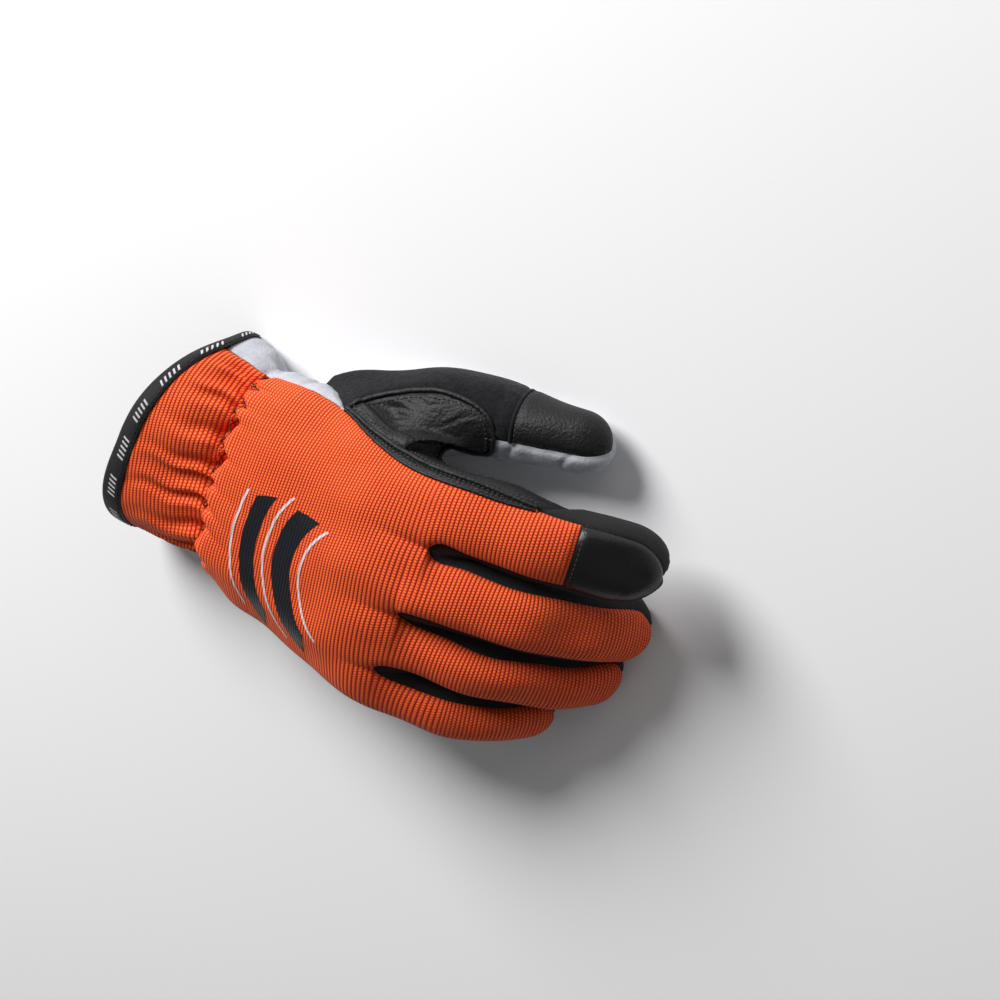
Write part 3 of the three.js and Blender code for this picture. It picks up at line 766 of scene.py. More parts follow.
def leatherRelief(p, x):
    crease = 1 - np.abs(np.sin(x * 0.16 + 1.5 * waves(p * np.array((0.2, 1, 1)), relief["creaseSize"], 8)))
    height = np.where(x > 8, -relief["creases"] * crease**5, 0)
    height = height + relief["grain"] * waves(p * np.array((1.6, 0.7, 1)), relief["grainSize"], 5)
    height = np.where(memberOf["palmPanel"] | memberOf["thumbPalm"], height, 0)
    # the ball of the thumb has sunk in a little
    away = [(p[:, i] - relief["dentAt"][i]) / relief["dentReach"][i] for i in (0, 1)]
    dent = relief["dent"] * np.exp(-(away[0] ** 2 + away[1] ** 2))
    return height - np.where(memberOf["thumbPalm"], dent, 0)


# A stitched band follows the knit's edge round the crotch; creases run out from the hollow's middle
def crotchRelief(p, x):
    onCrotch = memberOf["crotchPatch"]
    band = smooth((relief["weltWidth"] - backDistance) / 1.2)
    pucker = bellOf(backDistance - relief["puckerAt"], relief["puckerReach"])
    pucker = relief["pucker"] * pucker * np.sin(x * 2.6)
    height = np.where(onCrotch | memberOf["crotchStrip"], relief["welt"] * band + pucker, 0)
    hollow = bellOf(backDistance - relief["hollowAt"], relief["hollowReach"]) * smooth(seamDistance / 6)
    hollow = hollow * (1 - band) * smooth((relief["hollowEnd"] - x) / 10)
    reach = p - p[pool.places["crotchPatch"][0]].mean(axis=(0, 1))
    angle = np.arctan2(reach[:, 2] * 1.3, reach[:, 0])
    radial = np.sin(angle * 29 + 1.6 * waves(p, 19, 6)) + 0.6 * np.sin(angle * 47 + 2 * waves(p, 15, 9))
    away = np.linalg.norm(reach, axis=1)
    radial = radial * smooth((away - 3) / 6) * (1 - smooth((away - 14) / 12))
    radial = radial * smooth(seamDistance / 4) * (1 - band)
    crease = relief["radial"] * radial + relief["wrinkle"] * waves(p, 7, 12)
    return height + np.where(onCrotch, crease - relief["hollow"] * hollow, 0)


def reliefOf():
    p = pool.base
    x = p[:, 0]
    height = handRelief(x, aroundOf(p)) + leatherRelief(p, x) + crotchRelief(p, x)
    height = height - relief["seamDepth"] * bellOf(seamDistance, relief["seamReach"])
    # soft lumps everywhere, fewer on the cuff
    height = height + relief["lumps"] * waves(p, relief["lumpSize"], 3) * (0.4 + 0.6 * (x > 0))
    # sidewalls puff out between their seams
    onSide = sum(memberOf[name] for name in memberOf if name.endswith("Side")) > 0
    return height + np.where(onSide, relief["sidePuff"] * smooth(seamDistance / 7), 0)


def layDown(points):
    a = math.radians(rest["pitch"])
    x = points[:, 0] * math.cos(a) - points[:, 2] * math.sin(a) + rest["shift"][0]
    y = points[:, 1] + rest["shift"][1]
    z = points[:, 0] * math.sin(a) + points[:, 2] * math.cos(a) + rest["height"]
    f = rest["flattening"]
    z = np.where(z < f, np.maximum(z + f, 0) ** 2 / (4 * f), z)
    return np.stack([x, y, z], axis=1)


skin = layDown(pool.base + baseNormals * reliefOf()[:, None])
normals = pool.normalsOf(skin)
plainNormals = pool.normalsOf(layDown(pool.base))
ends = neighbours()
for _ in range(3):
    total = plainNormals.copy()
    np.add.at(total, ends[:, 0], plainNormals[ends[:, 1]])
    plainNormals = unit(total)
print("relief done")


def link(obj):
    bpy.context.scene.collection.objects.link(obj)
    return obj


def makeMesh(name, points, faces, uv=None):
    data = bpy.data.meshes.new(name)
    data.from_pydata((np.asarray(points) * mm).tolist(), [], faces)
    data.update()
    if uv is not None:
        layer = data.uv_layers.new(name="surface")
        loopVerts = np.empty(len(data.loops), np.int32)
        data.loops.foreach_get("vertex_index", loopVerts)
        layer.data.foreach_set("uv", uv[loopVerts].astype(np.float32).reshape(-1))
    data.polygons.foreach_set("use_smooth", np.ones(len(data.polygons), bool))
    return link(bpy.data.objects.new(name, data))


# Faces without their doubled corners
def trimmed(quads):
    faces = [list(dict.fromkeys(quad)) for quad in quads.tolist()]
    return [face for face in faces if len(face) > 2]


edgeInset = 0.12  # the outer edge stops this far short of the seam, the lining's reaches past it
liningHeight = 0.3  # the lining's lowest place over the table


# A closed panel: outer faces, inner faces one wall in, and a rim between them
def panelObject(name, wall):
    faces = trimmed(pool.faces[name])
    edges = {}
    for face in faces:
        for a, b in zip(face, face[1:] + face[:1]):
            if (b, a) in edges:
                del edges[(b, a)]
            else:
                edges[(a, b)] = True
    inward = {}
    for a, b in edges:
        run = skin[b] - skin[a]
        for i in (a, b):
            side = np.cross(normals[i], run)
            inward[i] = inward.get(i, 0) + side / max(np.linalg.norm(side), 1e-9)
    used = np.unique(np.array([v for face in faces for v in face]))
    new = {int(v): i for i, v in enumerate(used)}
    outer = skin[used].copy()
    inner = skin[used] - plainNormals[used] * wall
    for i, way in inward.items():
        way = way / max(np.linalg.norm(way), 1e-9) * edgeInset
        outer[new[i]] += way
        inner[new[i]] -= way
    outer[:, 2] = np.maximum(outer[:, 2], 0)
    inner[:, 2] = np.maximum(inner[:, 2], liningHeight)
    n = len(used)
    shell = [[new[v] for v in face] for face in faces]
    shell += [[new[v] + n for v in reversed(face)] for face in faces]
    shell += [[new[b], new[a], new[a] + n, new[b] + n] for a, b in edges]
    uv = pool.uvs[name][used]
    obj = makeMesh(name, np.vstack([outer, inner]), shell, np.vstack([uv, uv]))
    inside = np.zeros(len(shell), np.int32)
    inside[len(faces):] = 1
    obj.data.polygons.foreach_set("material_index", inside)
    return obj


def finishPiece(obj, nodes, slot, *materials):
    for material in materials:
        obj.data.materials.append(material)
    for node in nodes:
        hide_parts(node)
    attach(obj, "root")
    return obj


# Materials
class Nodes:
    def __init__(self, name, roughness, **sockets):
        self.material = bpy.data.materials.new(name)
        self.material.use_nodes = True
        self.tree = self.material.node_tree
        self.tree.nodes.clear()
        self.shader = self.add("ShaderNodeBsdfPrincipled")
        output = self.add("ShaderNodeOutputMaterial")
        self.join(self.shader.outputs[0], output.inputs[0])
        self.shader.inputs["Roughness"].default_value = roughness
        for key, value in sockets.items():
            self.shader.inputs[key.replace("_", " ")].default_value = value

    def add(self, kind, **settings):
        node = self.tree.nodes.new(kind)
        for key, value in settings.items():
            setattr(node, key, value)
        return node

    def join(self, a, b):
        self.tree.links.new(a, b)

    def feed(self, socket, value):
        if isinstance(value, (int, float, tuple)):
            socket.default_value = value
        else:
            self.join(value, socket)

    def math(self, operation, a, b=0.0):
        node = self.add("ShaderNodeMath", operation=operation)
        for socket, value in zip(node.inputs, (a, b)):
            self.feed(socket, value)
        return node.outputs[0]

    def objectCoords(self):
        return self.add("ShaderNodeTexCoord").outputs["Object"]

    def uv(self):
        parts = self.add("ShaderNodeSeparateXYZ")
        self.join(self.add("ShaderNodeUVMap", uv_map="surface").outputs[0], parts.inputs[0])
        return parts.outputs[0], parts.outputs[1]

    def noise(self, scale, detail=3.0, roughness=0.55):
        node = self.add("ShaderNodeTexNoise")
        self.join(self.objectCoords(), node.inputs["Vector"])
        node.inputs["Scale"].default_value = scale
        node.inputs["Detail"].default_value = detail
        node.inputs["Roughness"].default_value = roughness
        return node.outputs[0]

    def cells(self, scale):
        node = self.add("ShaderNodeTexVoronoi", feature="SMOOTH_F1")
        self.join(self.objectCoords(), node.inputs["Vector"])
        node.inputs["Scale"].default_value = scale
        return node.outputs["Distance"]

    def ramp(self, value, stops):
        node = self.add("ShaderNodeValToRGB")
        elements = node.color_ramp.elements
        while len(elements) < len(stops):
            elements.new(0.5)
        for element, (at, color) in zip(elements, stops):
            element.position = at
            element.color = (*color, 1)
        self.feed(node.inputs[0], value)
        return node.outputs[0]

    def color(self, value):
        self.join(value, self.shader.inputs["Base Color"])

    def blendColor(self, factor, a, b):
        node = self.add("ShaderNodeMix", data_type="RGBA")
        self.feed(node.inputs[0], factor)
        for socket, value in ((node.inputs[6], a), (node.inputs[7], b)):
            self.feed(socket, (*value, 1) if isinstance(value, tuple) else value)
        return node.outputs[2]

    def bump(self, *layers):
        last = None
        for height, distance in layers:
            node = self.add("ShaderNodeBump")
            node.inputs["Distance"].default_value = distance * mm
            self.join(height, node.inputs["Height"])
            if last:
                self.join(last, node.inputs["Normal"])
            last = node.outputs[0]
        self.join(last, self.shader.inputs["Normal"])


# Ribs lie across the hand, each one a row of small beads
def knitHeight(n):
    across, along = n.uv()
    rib = n.math("DIVIDE", along, knit["rib"])
    ribShare = n.math("ABSOLUTE", n.math("SINE", n.math("MULTIPLY", rib, math.pi)))
    half = n.math("MULTIPLY", n.math("FLOOR", rib), 0.5)
    bead = n.math("ADD", n.math("DIVIDE", across, knit["braid"]), half)
    beadShare = n.math("ABSOLUTE", n.math("SINE", n.math("MULTIPLY", bead, math.pi)))
    ribRound = n.math("POWER", ribShare, 0.6)
    beadRound = n.math("POWER", beadShare, 0.7)
    return n.math("MULTIPLY", ribRound, n.math("ADD", n.math("MULTIPLY", beadRound, 0.5), 0.5))


def knitMaterial():
    n = Nodes("orangeKnit", 0.7, Sheen_Weight=0.1, Sheen_Roughness=0.5, Specular_IOR_Level=0.3)
    n.shader.inputs["Sheen Tint"].default_value = (1, 0.45, 0.25, 1)
    height = knitHeight(n)
    # colour follows the knit's height: painted shade in the grooves, painted highlight on the bead tops,
    # plus random tone from the noise
    tone = n.math("ADD", n.math("MULTIPLY", n.noise(60), 0.14), n.math("SUBTRACT", height, 0.07))
    n.color(n.ramp(tone, [(0.15, knit["shadedGroove"]), (0.6, knit["ridge"]), (1.0, knit["top"])]))
    n.bump((height, knit["depth"]), (n.noise(2600, 2), 0.04))
    return n.material


def leatherMaterial(name, dark, light, roughness, grain, depth, **sockets):
    n = Nodes(name, roughness, **sockets)
    cells = n.math("SUBTRACT", 1.0, n.cells(grain))
    fine = n.noise(grain * 1.5, 3)
    patch = n.noise(45, 4)
    pores = n.math("ADD", n.math("MULTIPLY", cells, 0.7), n.math("MULTIPLY", fine, 0.5))
    tone = n.math("ADD", n.math("MULTIPLY", patch, 0.6), n.math("MULTIPLY", pores, 0.35))
    n.color(n.ramp(tone, [(0.25, dark), (0.75, light)]))
    n.bump((patch, 0.6), (pores, depth))
    return n.material


def softshellMaterial(name, dark, light, roughness, weave, **sockets):
    n = Nodes(name, roughness, **sockets)
    across, along = n.uv()
    a = n.math("SINE", n.math("MULTIPLY", n.math("ADD", across, along), 2 * math.pi / weave))
    b = n.math("SINE", n.math("MULTIPLY", n.math("SUBTRACT", across, along), 2 * math.pi / weave))
    woven = n.math("MULTIPLY", a, b)
    fuzz = n.noise(1500, 3)
    n.color(n.ramp(n.math("ADD", n.math("MULTIPLY", n.noise(80), 0.5), n.math("MULTIPLY", fuzz, 0.5)),
                   [(0.3, dark), (0.7, light)]))
    n.bump((woven, 0.08), (fuzz, 0.12))
    return n.material


def fleeceMaterial(name, dark, light, depth):
    n = Nodes(name, 0.95, Sheen_Weight=0.1, Sheen_Roughness=0.45, Specular_IOR_Level=0.2)
    fuzz = n.noise(900, 5, 0.7)
    tufts = n.noise(380, 3)
    tone = n.math("ADD", n.math("MULTIPLY", fuzz, 0.6), n.math("MULTIPLY", tufts, 0.4))
    n.color(n.ramp(tone, [(0.35, dark), (0.68, light)]))
    n.bump((tufts, depth), (fuzz, depth))
    return n.material


orangeKnit = knitMaterial()
paleLeather = leatherMaterial("paleLeather", (0.3, 0.31, 0.34), (0.48, 0.49, 0.53), 0.6, 950, 0.2)
blackLeather = leatherMaterial("blackLeather", (0.002, 0.002, 0.0022), (0.007, 0.007, 0.0078),
                               0.56, 1000, 0.36, Specular_IOR_Level=0.35)
smoothLeather = leatherMaterial("smoothBlackLeather", (0.003, 0.003, 0.0035), (0.008, 0.008, 0.009),
                                0.36, 1400, 0.1, Specular_IOR_Level=0.4)
blackCloth = softshellMaterial("blackSoftshell", (0.002, 0.002, 0.0025), (0.007, 0.007, 0.008), 0.75, 0.7)
charcoalCloth = fleeceMaterial("charcoalFleece", (0.002, 0.002, 0.003), (0.016, 0.016, 0.0195), 0.4)
lining = fleeceMaterial("greyLining", (0.02, 0.02, 0.022), (0.07, 0.07, 0.075), 0.4)

panels = {
    "backPanel": (("back_panel",), "orange_knit", orangeKnit, 1.4),
    "palmPanel": (("palm_panel",), "pale_leather", paleLeather, 1.4),
    "indexTip": (("index_tip_patch",), "black_leather", smoothLeather, 1.3),
    "indexOuterSide": (("fourchette_index_outer",), "black_cloth", blackCloth, 1.1),
    "crotchStrip": ((), "black_leather", blackLeather, 1.2),
    "indexMiddleSide": (("fourchette_index_middle",), "black_cloth", blackCloth, 1.1),
    "middleRingSide": (("fourchette_middle_ring",), "black_cloth", blackCloth, 1.1),
    "ringLittleSide": (("fourchette_ring_little",), "black_cloth", blackCloth, 1.1),
    "littleOuterSide": (("fourchette_little_outer",), "black_cloth", blackCloth, 1.1),
    "thumbBack": (("thumb_back",), "charcoal_cloth", charcoalCloth, 1.2),
    "thumbTip": (("thumb_tip_patch",), "black_leather", blackLeather, 1.3),
    "crotchPatch": (("thumb_crotch_patch",), "black_leather", blackLeather, 1.3),
    "thumbPalm": (("thumb_palm",), "pale_leather", paleLeather, 1.4),
}
pieces = {}
for name, (nodes, slot, material, wall) in panels.items():
    pieces[name] = finishPiece(panelObject(name, wall), nodes, slot, material, lining)
print("panels", {name: len(piece.data.polygons) for name, piece in pieces.items()})


# Cuff binding: tape folded over the cuff's edge, swept round it
binding = {
    "width": 6.0, "inside": 5.0, "proud": 0.9, "wall": 1.4, "turns": 360, "fold": 1.3, "repeat": 19,
    "stitchLine": 5.1,
}


def bindingObject():
    angles = np.linspace(180, 540, binding["turns"], endpoint=False)
    wall = binding["wall"]
    outerLeg = np.linspace(binding["width"], 0, 13)
    share = np.clip(outerLeg / binding["width"], 0.04, 0.96)
    bulge = binding["proud"] * (0.35 + 0.65 * np.sin(np.pi * share) ** 0.6)
    fold = np.radians(np.linspace(90, -90, 13))[1:-1]
    profile = [(x, h) for x, h in zip(outerLeg, bulge)]
    high = binding["proud"] * 0.5
    low = -wall - 0.6
    profile += [(-math.cos(a) * binding["fold"], mix(low, high, (math.sin(a) + 1) / 2)) for a in fold]
    profile += [(x, -wall - 0.7) for x in np.linspace(0, binding["inside"], 9)]
    profile += [(binding["inside"], -wall + 0.1), (2.0, -wall + 0.1), (2.0, -0.1), (binding["width"], -0.1)]

    # the cuff's own face where it lies, then out from it by the tape's height there
    def laid(at):
        point = handPoint(at + 0 * angles, angles)
        ripple = cuffRipple(aroundOf(point), point[:, 0])
        return layDown(point + handNormal(at + 0 * angles, angles) * ripple[:, None])

    rows = []
    for x, h in profile:
        at = -cuff["length"] + x
        ahead = laid(at + 0.5) - laid(at - 0.5)
        place = laid(at)
        out = unit(np.cross(ahead, np.roll(place, -1, axis=0) - np.roll(place, 1, axis=0)))
        rows.append(place + out * h)
    grid = np.stack(rows)
    count = len(profile)
    turnsCount = binding["turns"]
    points = grid.reshape(-1, 3)
    points[:, 2] = np.maximum(points[:, 2], 0)
    length = np.linalg.norm(np.diff(np.vstack([grid[0], grid[0][:1]]), axis=0), axis=1)
    around = np.concatenate([[0], np.cumsum(length)])
    # a whole number of groups of marks goes round
    around = around / around[-1] * round(around[-1] / binding["repeat"]) * binding["repeat"]
    total, around = around[-1], around[:-1]
    faces = []
    for i in range(count):
        for j in range(turnsCount):
            a, b = i * turnsCount + j, i * turnsCount + (j + 1) % turnsCount
            c, d = ((i + 1) % count) * turnsCount + (j + 1) % turnsCount, ((i + 1) % count) * turnsCount + j
            faces.append([a, b, c, d])
    uv = np.stack([np.tile(around, count), np.repeat([x for x, _ in profile], turnsCount)], axis=1)
    obj = makeMesh("cuffBinding", points, faces, uv)
    layer = obj.data.uv_layers[0].data
    for face in obj.data.polygons:
        if face.index % turnsCount == turnsCount - 1:
            for loop in face.loop_indices:
                if obj.data.loops[loop].vertex_index % turnsCount == 0:
                    layer[loop].uv.x += total
    return obj


def tapeMaterial():
    n = Nodes("blackTape", 0.55, Specular_IOR_Level=0.3)
    around, across = n.uv()
    rib = n.math("SINE", n.math("MULTIPLY", around, 2 * math.pi / 0.55))
    # woven-in marks: groups of slanted bars between two plain lengths
    place = n.math("MODULO", n.math("ADD", around, n.math("MULTIPLY", across, 0.6)), binding["repeat"])
    bars = n.math("LESS_THAN", n.math("FRACT", n.math("DIVIDE", place, 2.2)), 0.42)
    group = n.math("LESS_THAN", place, 10.9)
    inside = n.math("MULTIPLY", n.math("GREATER_THAN", across, 1.5), n.math("LESS_THAN", across, 4.0))
    marks = n.math("MULTIPLY", n.math("MULTIPLY", bars, group), inside)
    n.color(n.blendColor(marks, (0.006, 0.006, 0.007), (0.6, 0.6, 0.62)))
    n.bump((rib, 0.06), (n.noise(1800, 2), 0.04))
    return n.material


tape = bindingObject()
finishPiece(tape, ("cuff_binding",), "binding_tape", tapeMaterial())
print("binding", len(tape.data.polygons))


# Places on a finished panel: the nearest point of its outer face, lifted a little
outerTrees = {}


def outerTree(name):
    if name not in outerTrees:
        faces = trimmed(pool.faces[name])
        outerTrees[name] = BVHTree.FromPolygons(skin.tolist(), faces), faces
    return outerTrees[name]


def onto(name, points, lift):
    tree = outerTree(name)[0]
    out = []
    for point in points:
        place, normal, _, _ = tree.find_nearest(Vector(point))
        out.append(np.array(place) + np.array(normal) * lift)
    return np.array(out)


def tablePoints(points):
    return layDown(np.asarray(points, float).reshape(-1, 3))


# Node trees for threads and rows of stitches, both along a path of edges
def newTree(name, **sizes):
    tree = bpy.data.node_groups.new(name, "GeometryNodeTree")
    tree.interface.new_socket("Path", in_out="INPUT", socket_type="NodeSocketGeometry")
    for key, value in sizes.items():
        tree.interface.new_socket(key, in_out="INPUT", socket_type="NodeSocketFloat").default_value = value
    tree.interface.new_socket("Finish", in_out="INPUT", socket_type="NodeSocketMaterial")
    tree.interface.new_socket("Mesh", in_out="OUTPUT", socket_type="NodeSocketGeometry")
    source = tree.nodes.new("NodeGroupInput")
    curve = tree.nodes.new("GeometryNodeMeshToCurve")
    tree.links.new(source.outputs["Path"], curve.inputs["Mesh"])
    return tree, source, curve


def endTree(tree, source, geometry):
    realized = tree.nodes.new("GeometryNodeRealizeInstances")
    shaded = tree.nodes.new("GeometryNodeSetShadeSmooth")
    finish = tree.nodes.new("GeometryNodeSetMaterial")
    out = tree.nodes.new("NodeGroupOutput")
    tree.links.new(geometry, realized.inputs[0])
    tree.links.new(realized.outputs[0], shaded.inputs[0])
    tree.links.new(shaded.outputs[0], finish.inputs["Geometry"])
    tree.links.new(source.outputs["Finish"], finish.inputs["Material"])
    tree.links.new(finish.outputs[0], out.inputs[0])
    return tree


def stitchTree():
    tree, source, curve = newTree("stitchRow", Pitch=0.0024, Length=0.0016, Thickness=0.0005)
    spaced = tree.nodes.new("GeometryNodeResampleCurve")
    spaced.mode = "LENGTH"
    tree.links.new(curve.outputs[0], spaced.inputs["Curve"])
    tree.links.new(source.outputs["Pitch"], spaced.inputs["Length"])
    ball = tree.nodes.new("GeometryNodeMeshUVSphere")
    ball.inputs["Segments"].default_value = 8
    ball.inputs["Rings"].default_value = 6
    ball.inputs["Radius"].default_value = 0.5
    size = tree.nodes.new("ShaderNodeCombineXYZ")
    tree.links.new(source.outputs["Length"], size.inputs[0])
    tree.links.new(source.outputs["Thickness"], size.inputs[1])
    tree.links.new(source.outputs["Thickness"], size.inputs[2])
    shaped = tree.nodes.new("GeometryNodeTransform")
    tree.links.new(ball.outputs["Mesh"], shaped.inputs["Geometry"])
    tree.links.new(size.outputs[0], shaped.inputs["Scale"])
    way = tree.nodes.new("GeometryNodeInputTangent")
    turned = tree.nodes.new("FunctionNodeAlignRotationToVector")
    turned.axis = "X"
    tree.links.new(way.outputs[0], turned.inputs["Vector"])
    placed = tree.nodes.new("GeometryNodeInstanceOnPoints")
    tree.links.new(spaced.outputs[0], placed.inputs["Points"])
    tree.links.new(shaped.outputs[0], placed.inputs["Instance"])
    tree.links.new(turned.outputs[0], placed.inputs["Rotation"])
    return endTree(tree, source, placed.outputs[0])


def threadTree():
    tree, source, curve = newTree("threadLine", Radius=0.0003)
    ring = tree.nodes.new("GeometryNodeCurvePrimitiveCircle")
    ring.inputs["Resolution"].default_value = 8
    tree.links.new(source.outputs["Radius"], ring.inputs["Radius"])
    tube = tree.nodes.new("GeometryNodeCurveToMesh")
    tube.inputs["Fill Caps"].default_value = True
    tree.links.new(curve.outputs[0], tube.inputs["Curve"])
    tree.links.new(ring.outputs[0], tube.inputs["Profile Curve"])
    return endTree(tree, source, tube.outputs[0])


trees = {"stitchRow": stitchTree(), "threadLine": threadTree()}


def alongPaths(name, tree, paths, material, **sizes):
    points, edges = [], []
    for path, closed in paths:
        first = len(points)
        points.extend((np.asarray(path) * mm).tolist())
        edges.extend((i, i + 1) for i in range(first, len(points) - 1))
        if closed:
            edges.append((len(points) - 1, first))
    data = bpy.data.meshes.new(name + "Path")
    data.from_pydata(points, edges, [])
    obj = link(bpy.data.objects.new(name, data))
    group = trees[tree]
    modifier = obj.modifiers.new(tree, "NODES")
    modifier.node_group = group
    sockets = {item.name: item.identifier for item in group.interface.items_tree if item.in_out == "INPUT"}
    modifier[sockets["Finish"]] = material
    for key, value in sizes.items():
        modifier[sockets[key]] = value * mm
    result = bpy.data.meshes.new_from_object(obj.evaluated_get(bpy.context.evaluated_depsgraph_get()))
    obj.modifiers.clear()
    obj.data = result
    result.name = name
    # nothing dips under the table
    for vertex in result.vertices:
        vertex.co.z = max(vertex.co.z, 0)
    return obj


def rideAlone(obj):
    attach(obj, "root")
    return obj


def threadMaterial(name, color):
    n = Nodes(name, 0.6, Specular_IOR_Level=0.4)
    n.color(n.ramp(n.noise(3000, 2), [(0.3, tuple(c * 0.6 for c in color)), (0.7, color)]))
    n.bump((n.noise(5000, 2), 0.04))
    return n.material


blackThread = threadMaterial("blackThread", (0.012, 0.012, 0.014))
greyThread = threadMaterial("greyThread", (0.09, 0.09, 0.1))
blackGloss = threadMaterial("blackGloss", (0.03, 0.03, 0.032))

# Wrist gather: the elastic's thread in its scalloped valley, on the back and on the palm
gather = {"thread": 0.27, "lift": -0.05, "step": 0.5}
backAngles = np.arange(-86, 79, gather["step"])
palmAngles = np.arange(120, 270, gather["step"])


def gatherPath(name, angles):
    line = gatherLine(aroundOf(handPoint(0 * angles, angles)))
    line = gatherLine(aroundOf(handPoint(line, angles)))
    path = onto(name, tablePoints(handPoint(line, angles)), gather["lift"])
    for _ in range(4):
        path[1:-1] = (path[:-2] + 2 * path[1:-1] + path[2:]) / 4
    return path


rideAlone(alongPaths("gatherThreadBack", "threadLine", [(gatherPath("backPanel", backAngles), False)],
                     blackThread, Radius=gather["thread"]))
rideAlone(alongPaths("gatherThreadPalm", "threadLine", [(gatherPath("palmPanel", palmAngles), False)],
                     greyThread, Radius=gather["thread"]))

# Rolled edge round the thumb's side of the crotch patch, a row of stitches inside it
piping = {"radius": 0.95, "sink": 0.25, "stitch": {"Pitch": 1.9, "Length": 1.45, "Thickness": 0.6}}
crotch = pool.places["crotchPatch"][0]
strip = pool.places["crotchStrip"][0]
edgeLoop = np.concatenate([crotch[:, 0], crotch[-1, 1:-1], crotch[::-1, -1]])
knitEdge = np.concatenate([[i for i in crotch[0] if memberOf["backPanel"][i]], strip[1:, 0]]).astype(int)
pipes = [(skin[loop] + plainNormals[loop] * (piping["radius"] - piping["sink"]), False)
         for loop in (edgeLoop, knitEdge)]
rideAlone(alongPaths("crotchPiping", "threadLine", pipes, blackLeather,
                     Radius=piping["radius"]))


def insetPath(loop, distance, lift):
    points = skin[loop]
    ahead = np.gradient(points, axis=0)
    side = unit(np.cross(plainNormals[loop], ahead))
    middle = skin[crotch[len(crotch) // 2, crotch.shape[1] // 2]]
    side = side * np.sign(((middle - points) * side).sum(axis=1).mean())
    return onto("crotchPatch", points + side * distance, lift), False


rideAlone(alongPaths("crotchStitches", "stitchRow", [insetPath(edgeLoop[6:-6], 2.7, 0.15)],
                     blackGloss, **piping["stitch"]))

# The band where it laps over the knit: a thin domed strip with a rolled edge
def bandGrid():
    rows = rowsOf(0)
    here = (rows[0] >= crotchBand["start"]) & (rows[0] <= crotchBand["end"] + 0.01)
    rows = tuple(part[here] for part in rows)
    widths = curveOf(crotchBand["widths"], 1)(rows[0])
    edge = panelPoint(0, rows, 1, 1)
    half = np.linalg.norm(edge - panelPoint(0, rows, 0.4, 1), axis=1) / 0.6
    share = np.linspace(0, 1, crotchBand["columns"] + 1)[None, :]
    return rows, panelPoint(0, column(rows), 1 - (widths / half)[:, None] * (1 - share), 1)


def bandObject():
    rows, grid = bandGrid()
    count = grid.shape[1]
    flat = tablePoints(grid)
    tree = outerTree("backPanel")[0]
    top, under = [], []
    for i, point in enumerate(flat):
        place, normal, _, _ = tree.find_nearest(Vector(point))
        share = (i % count) / (count - 1)
        high = crotchBand["thick"] * (0.45 + 0.75 * math.sin(math.pi * min(share + 0.15, 1)))
        high += 0.14 * math.sin(rows[0][i // count] * 2.9) * math.sin(math.pi * share)
        top.append(np.array(place) + np.array(normal) * high)
        under.append(np.array(place) - np.array(normal) * 0.25)
    n = len(flat)
    length = len(rows[0])
    index = np.arange(n).reshape(length, count)
    corners = (index[:-1, :-1], index[1:, :-1], index[1:, 1:], index[:-1, 1:])
    upper = np.stack(corners, axis=-1).reshape(-1, 4).tolist()
    faces = upper + [[v + n for v in reversed(quad)] for quad in upper]
    rim = np.concatenate([index[:, 0], index[-1, 1:], index[-2::-1, -1], index[0, -2:0:-1]]).tolist()
    faces += [[b, a, a + n, b + n] for a, b in zip(rim, rim[1:] + rim[:1])]
    uv = np.stack([np.tile(np.arange(count), length), np.repeat(rows[0], count)], axis=1)
    obj = makeMesh("crotchBand", np.vstack([top, under]), faces, np.vstack([uv, uv]).astype(float))
    obj.data.materials.append(blackLeather)
    return rideAlone(obj), np.array(top).reshape(length, count, 3)


band, bandTop = bandObject()
rollLine = bandTop[:, 0] - np.array((0, 0, crotchBand["rollSink"]))
rideAlone(alongPaths("bandRoll", "threadLine", [(rollLine, False)], blackLeather,
                     Radius=crotchBand["roll"]))
overRows = [(bandTop[12:-6, j] + np.array((0, 0, 0.12)), False) for j in (3, 6)]
rideAlone(alongPaths("bandTopStitches", "stitchRow", overRows, blackGloss,
                     **piping["stitch"]))


# One more row beside the band, over the patch first and then over the strip
def bandRow(distance, lift):
    rows = rowsOf(0)
    here = (rows[0] >= hole["lipEnd"] + 2) & (rows[0] <= crotchBand["end"] - 2)
    part = tuple(row[here] for row in rows)
    edge = panelPoint(0, part, 1, 1)
    overHole = edge + np.array((0, 1.0, -4.0))
    lower = np.where((part[0] < hole["end"])[:, None], overHole, sidePoint(0, part, 0.6, 1))
    inside = tablePoints(edge + unit(lower - edge) * distance)
    onHole = part[0] < hole["end"] - 0.5
    onPatch = onto("crotchPatch", inside[onHole], lift)
    return np.vstack([onPatch, onto("crotchStrip", inside[~onHole], lift)]), False


rideAlone(alongPaths("bandStitches", "stitchRow", [bandRow(2.6, 0.2)], blackGloss,
                     **piping["stitch"]))

# Rows of stitches that follow the panels' seams
seamRows = {"Pitch": 2.4, "Length": 1.75, "Thickness": 0.45}


def panelRow(name, k, side, edge, distance, start, end, lift=0.08):
    rows = tuple(part[(rowsOf(k)[0] >= start) & (rowsOf(k)[0] <= end)] for part in rowsOf(k))
    line = panelPoint(k, rows, edge, side)
    middle = panelPoint(k, rows, 0, side)
    inside = line + unit(middle - line) * distance
    return onto(name, tablePoints(inside), lift), False


thumbRows = [panelRow("palmPanel", 0, -1, 1, d, hole["start"] + 1, hole["end"] - 2) for d in (2.0, 3.8)]
rideAlone(alongPaths("thumbSeamStitches", "stitchRow", thumbRows, greyThread, **seamRows))


def ringRow(name, grid, row, distance, lift=0.1):
    points = skin[grid[row]]
    step = unit(skin[grid[row + 1]] - points)
    return onto(name, points + step * distance, lift), False


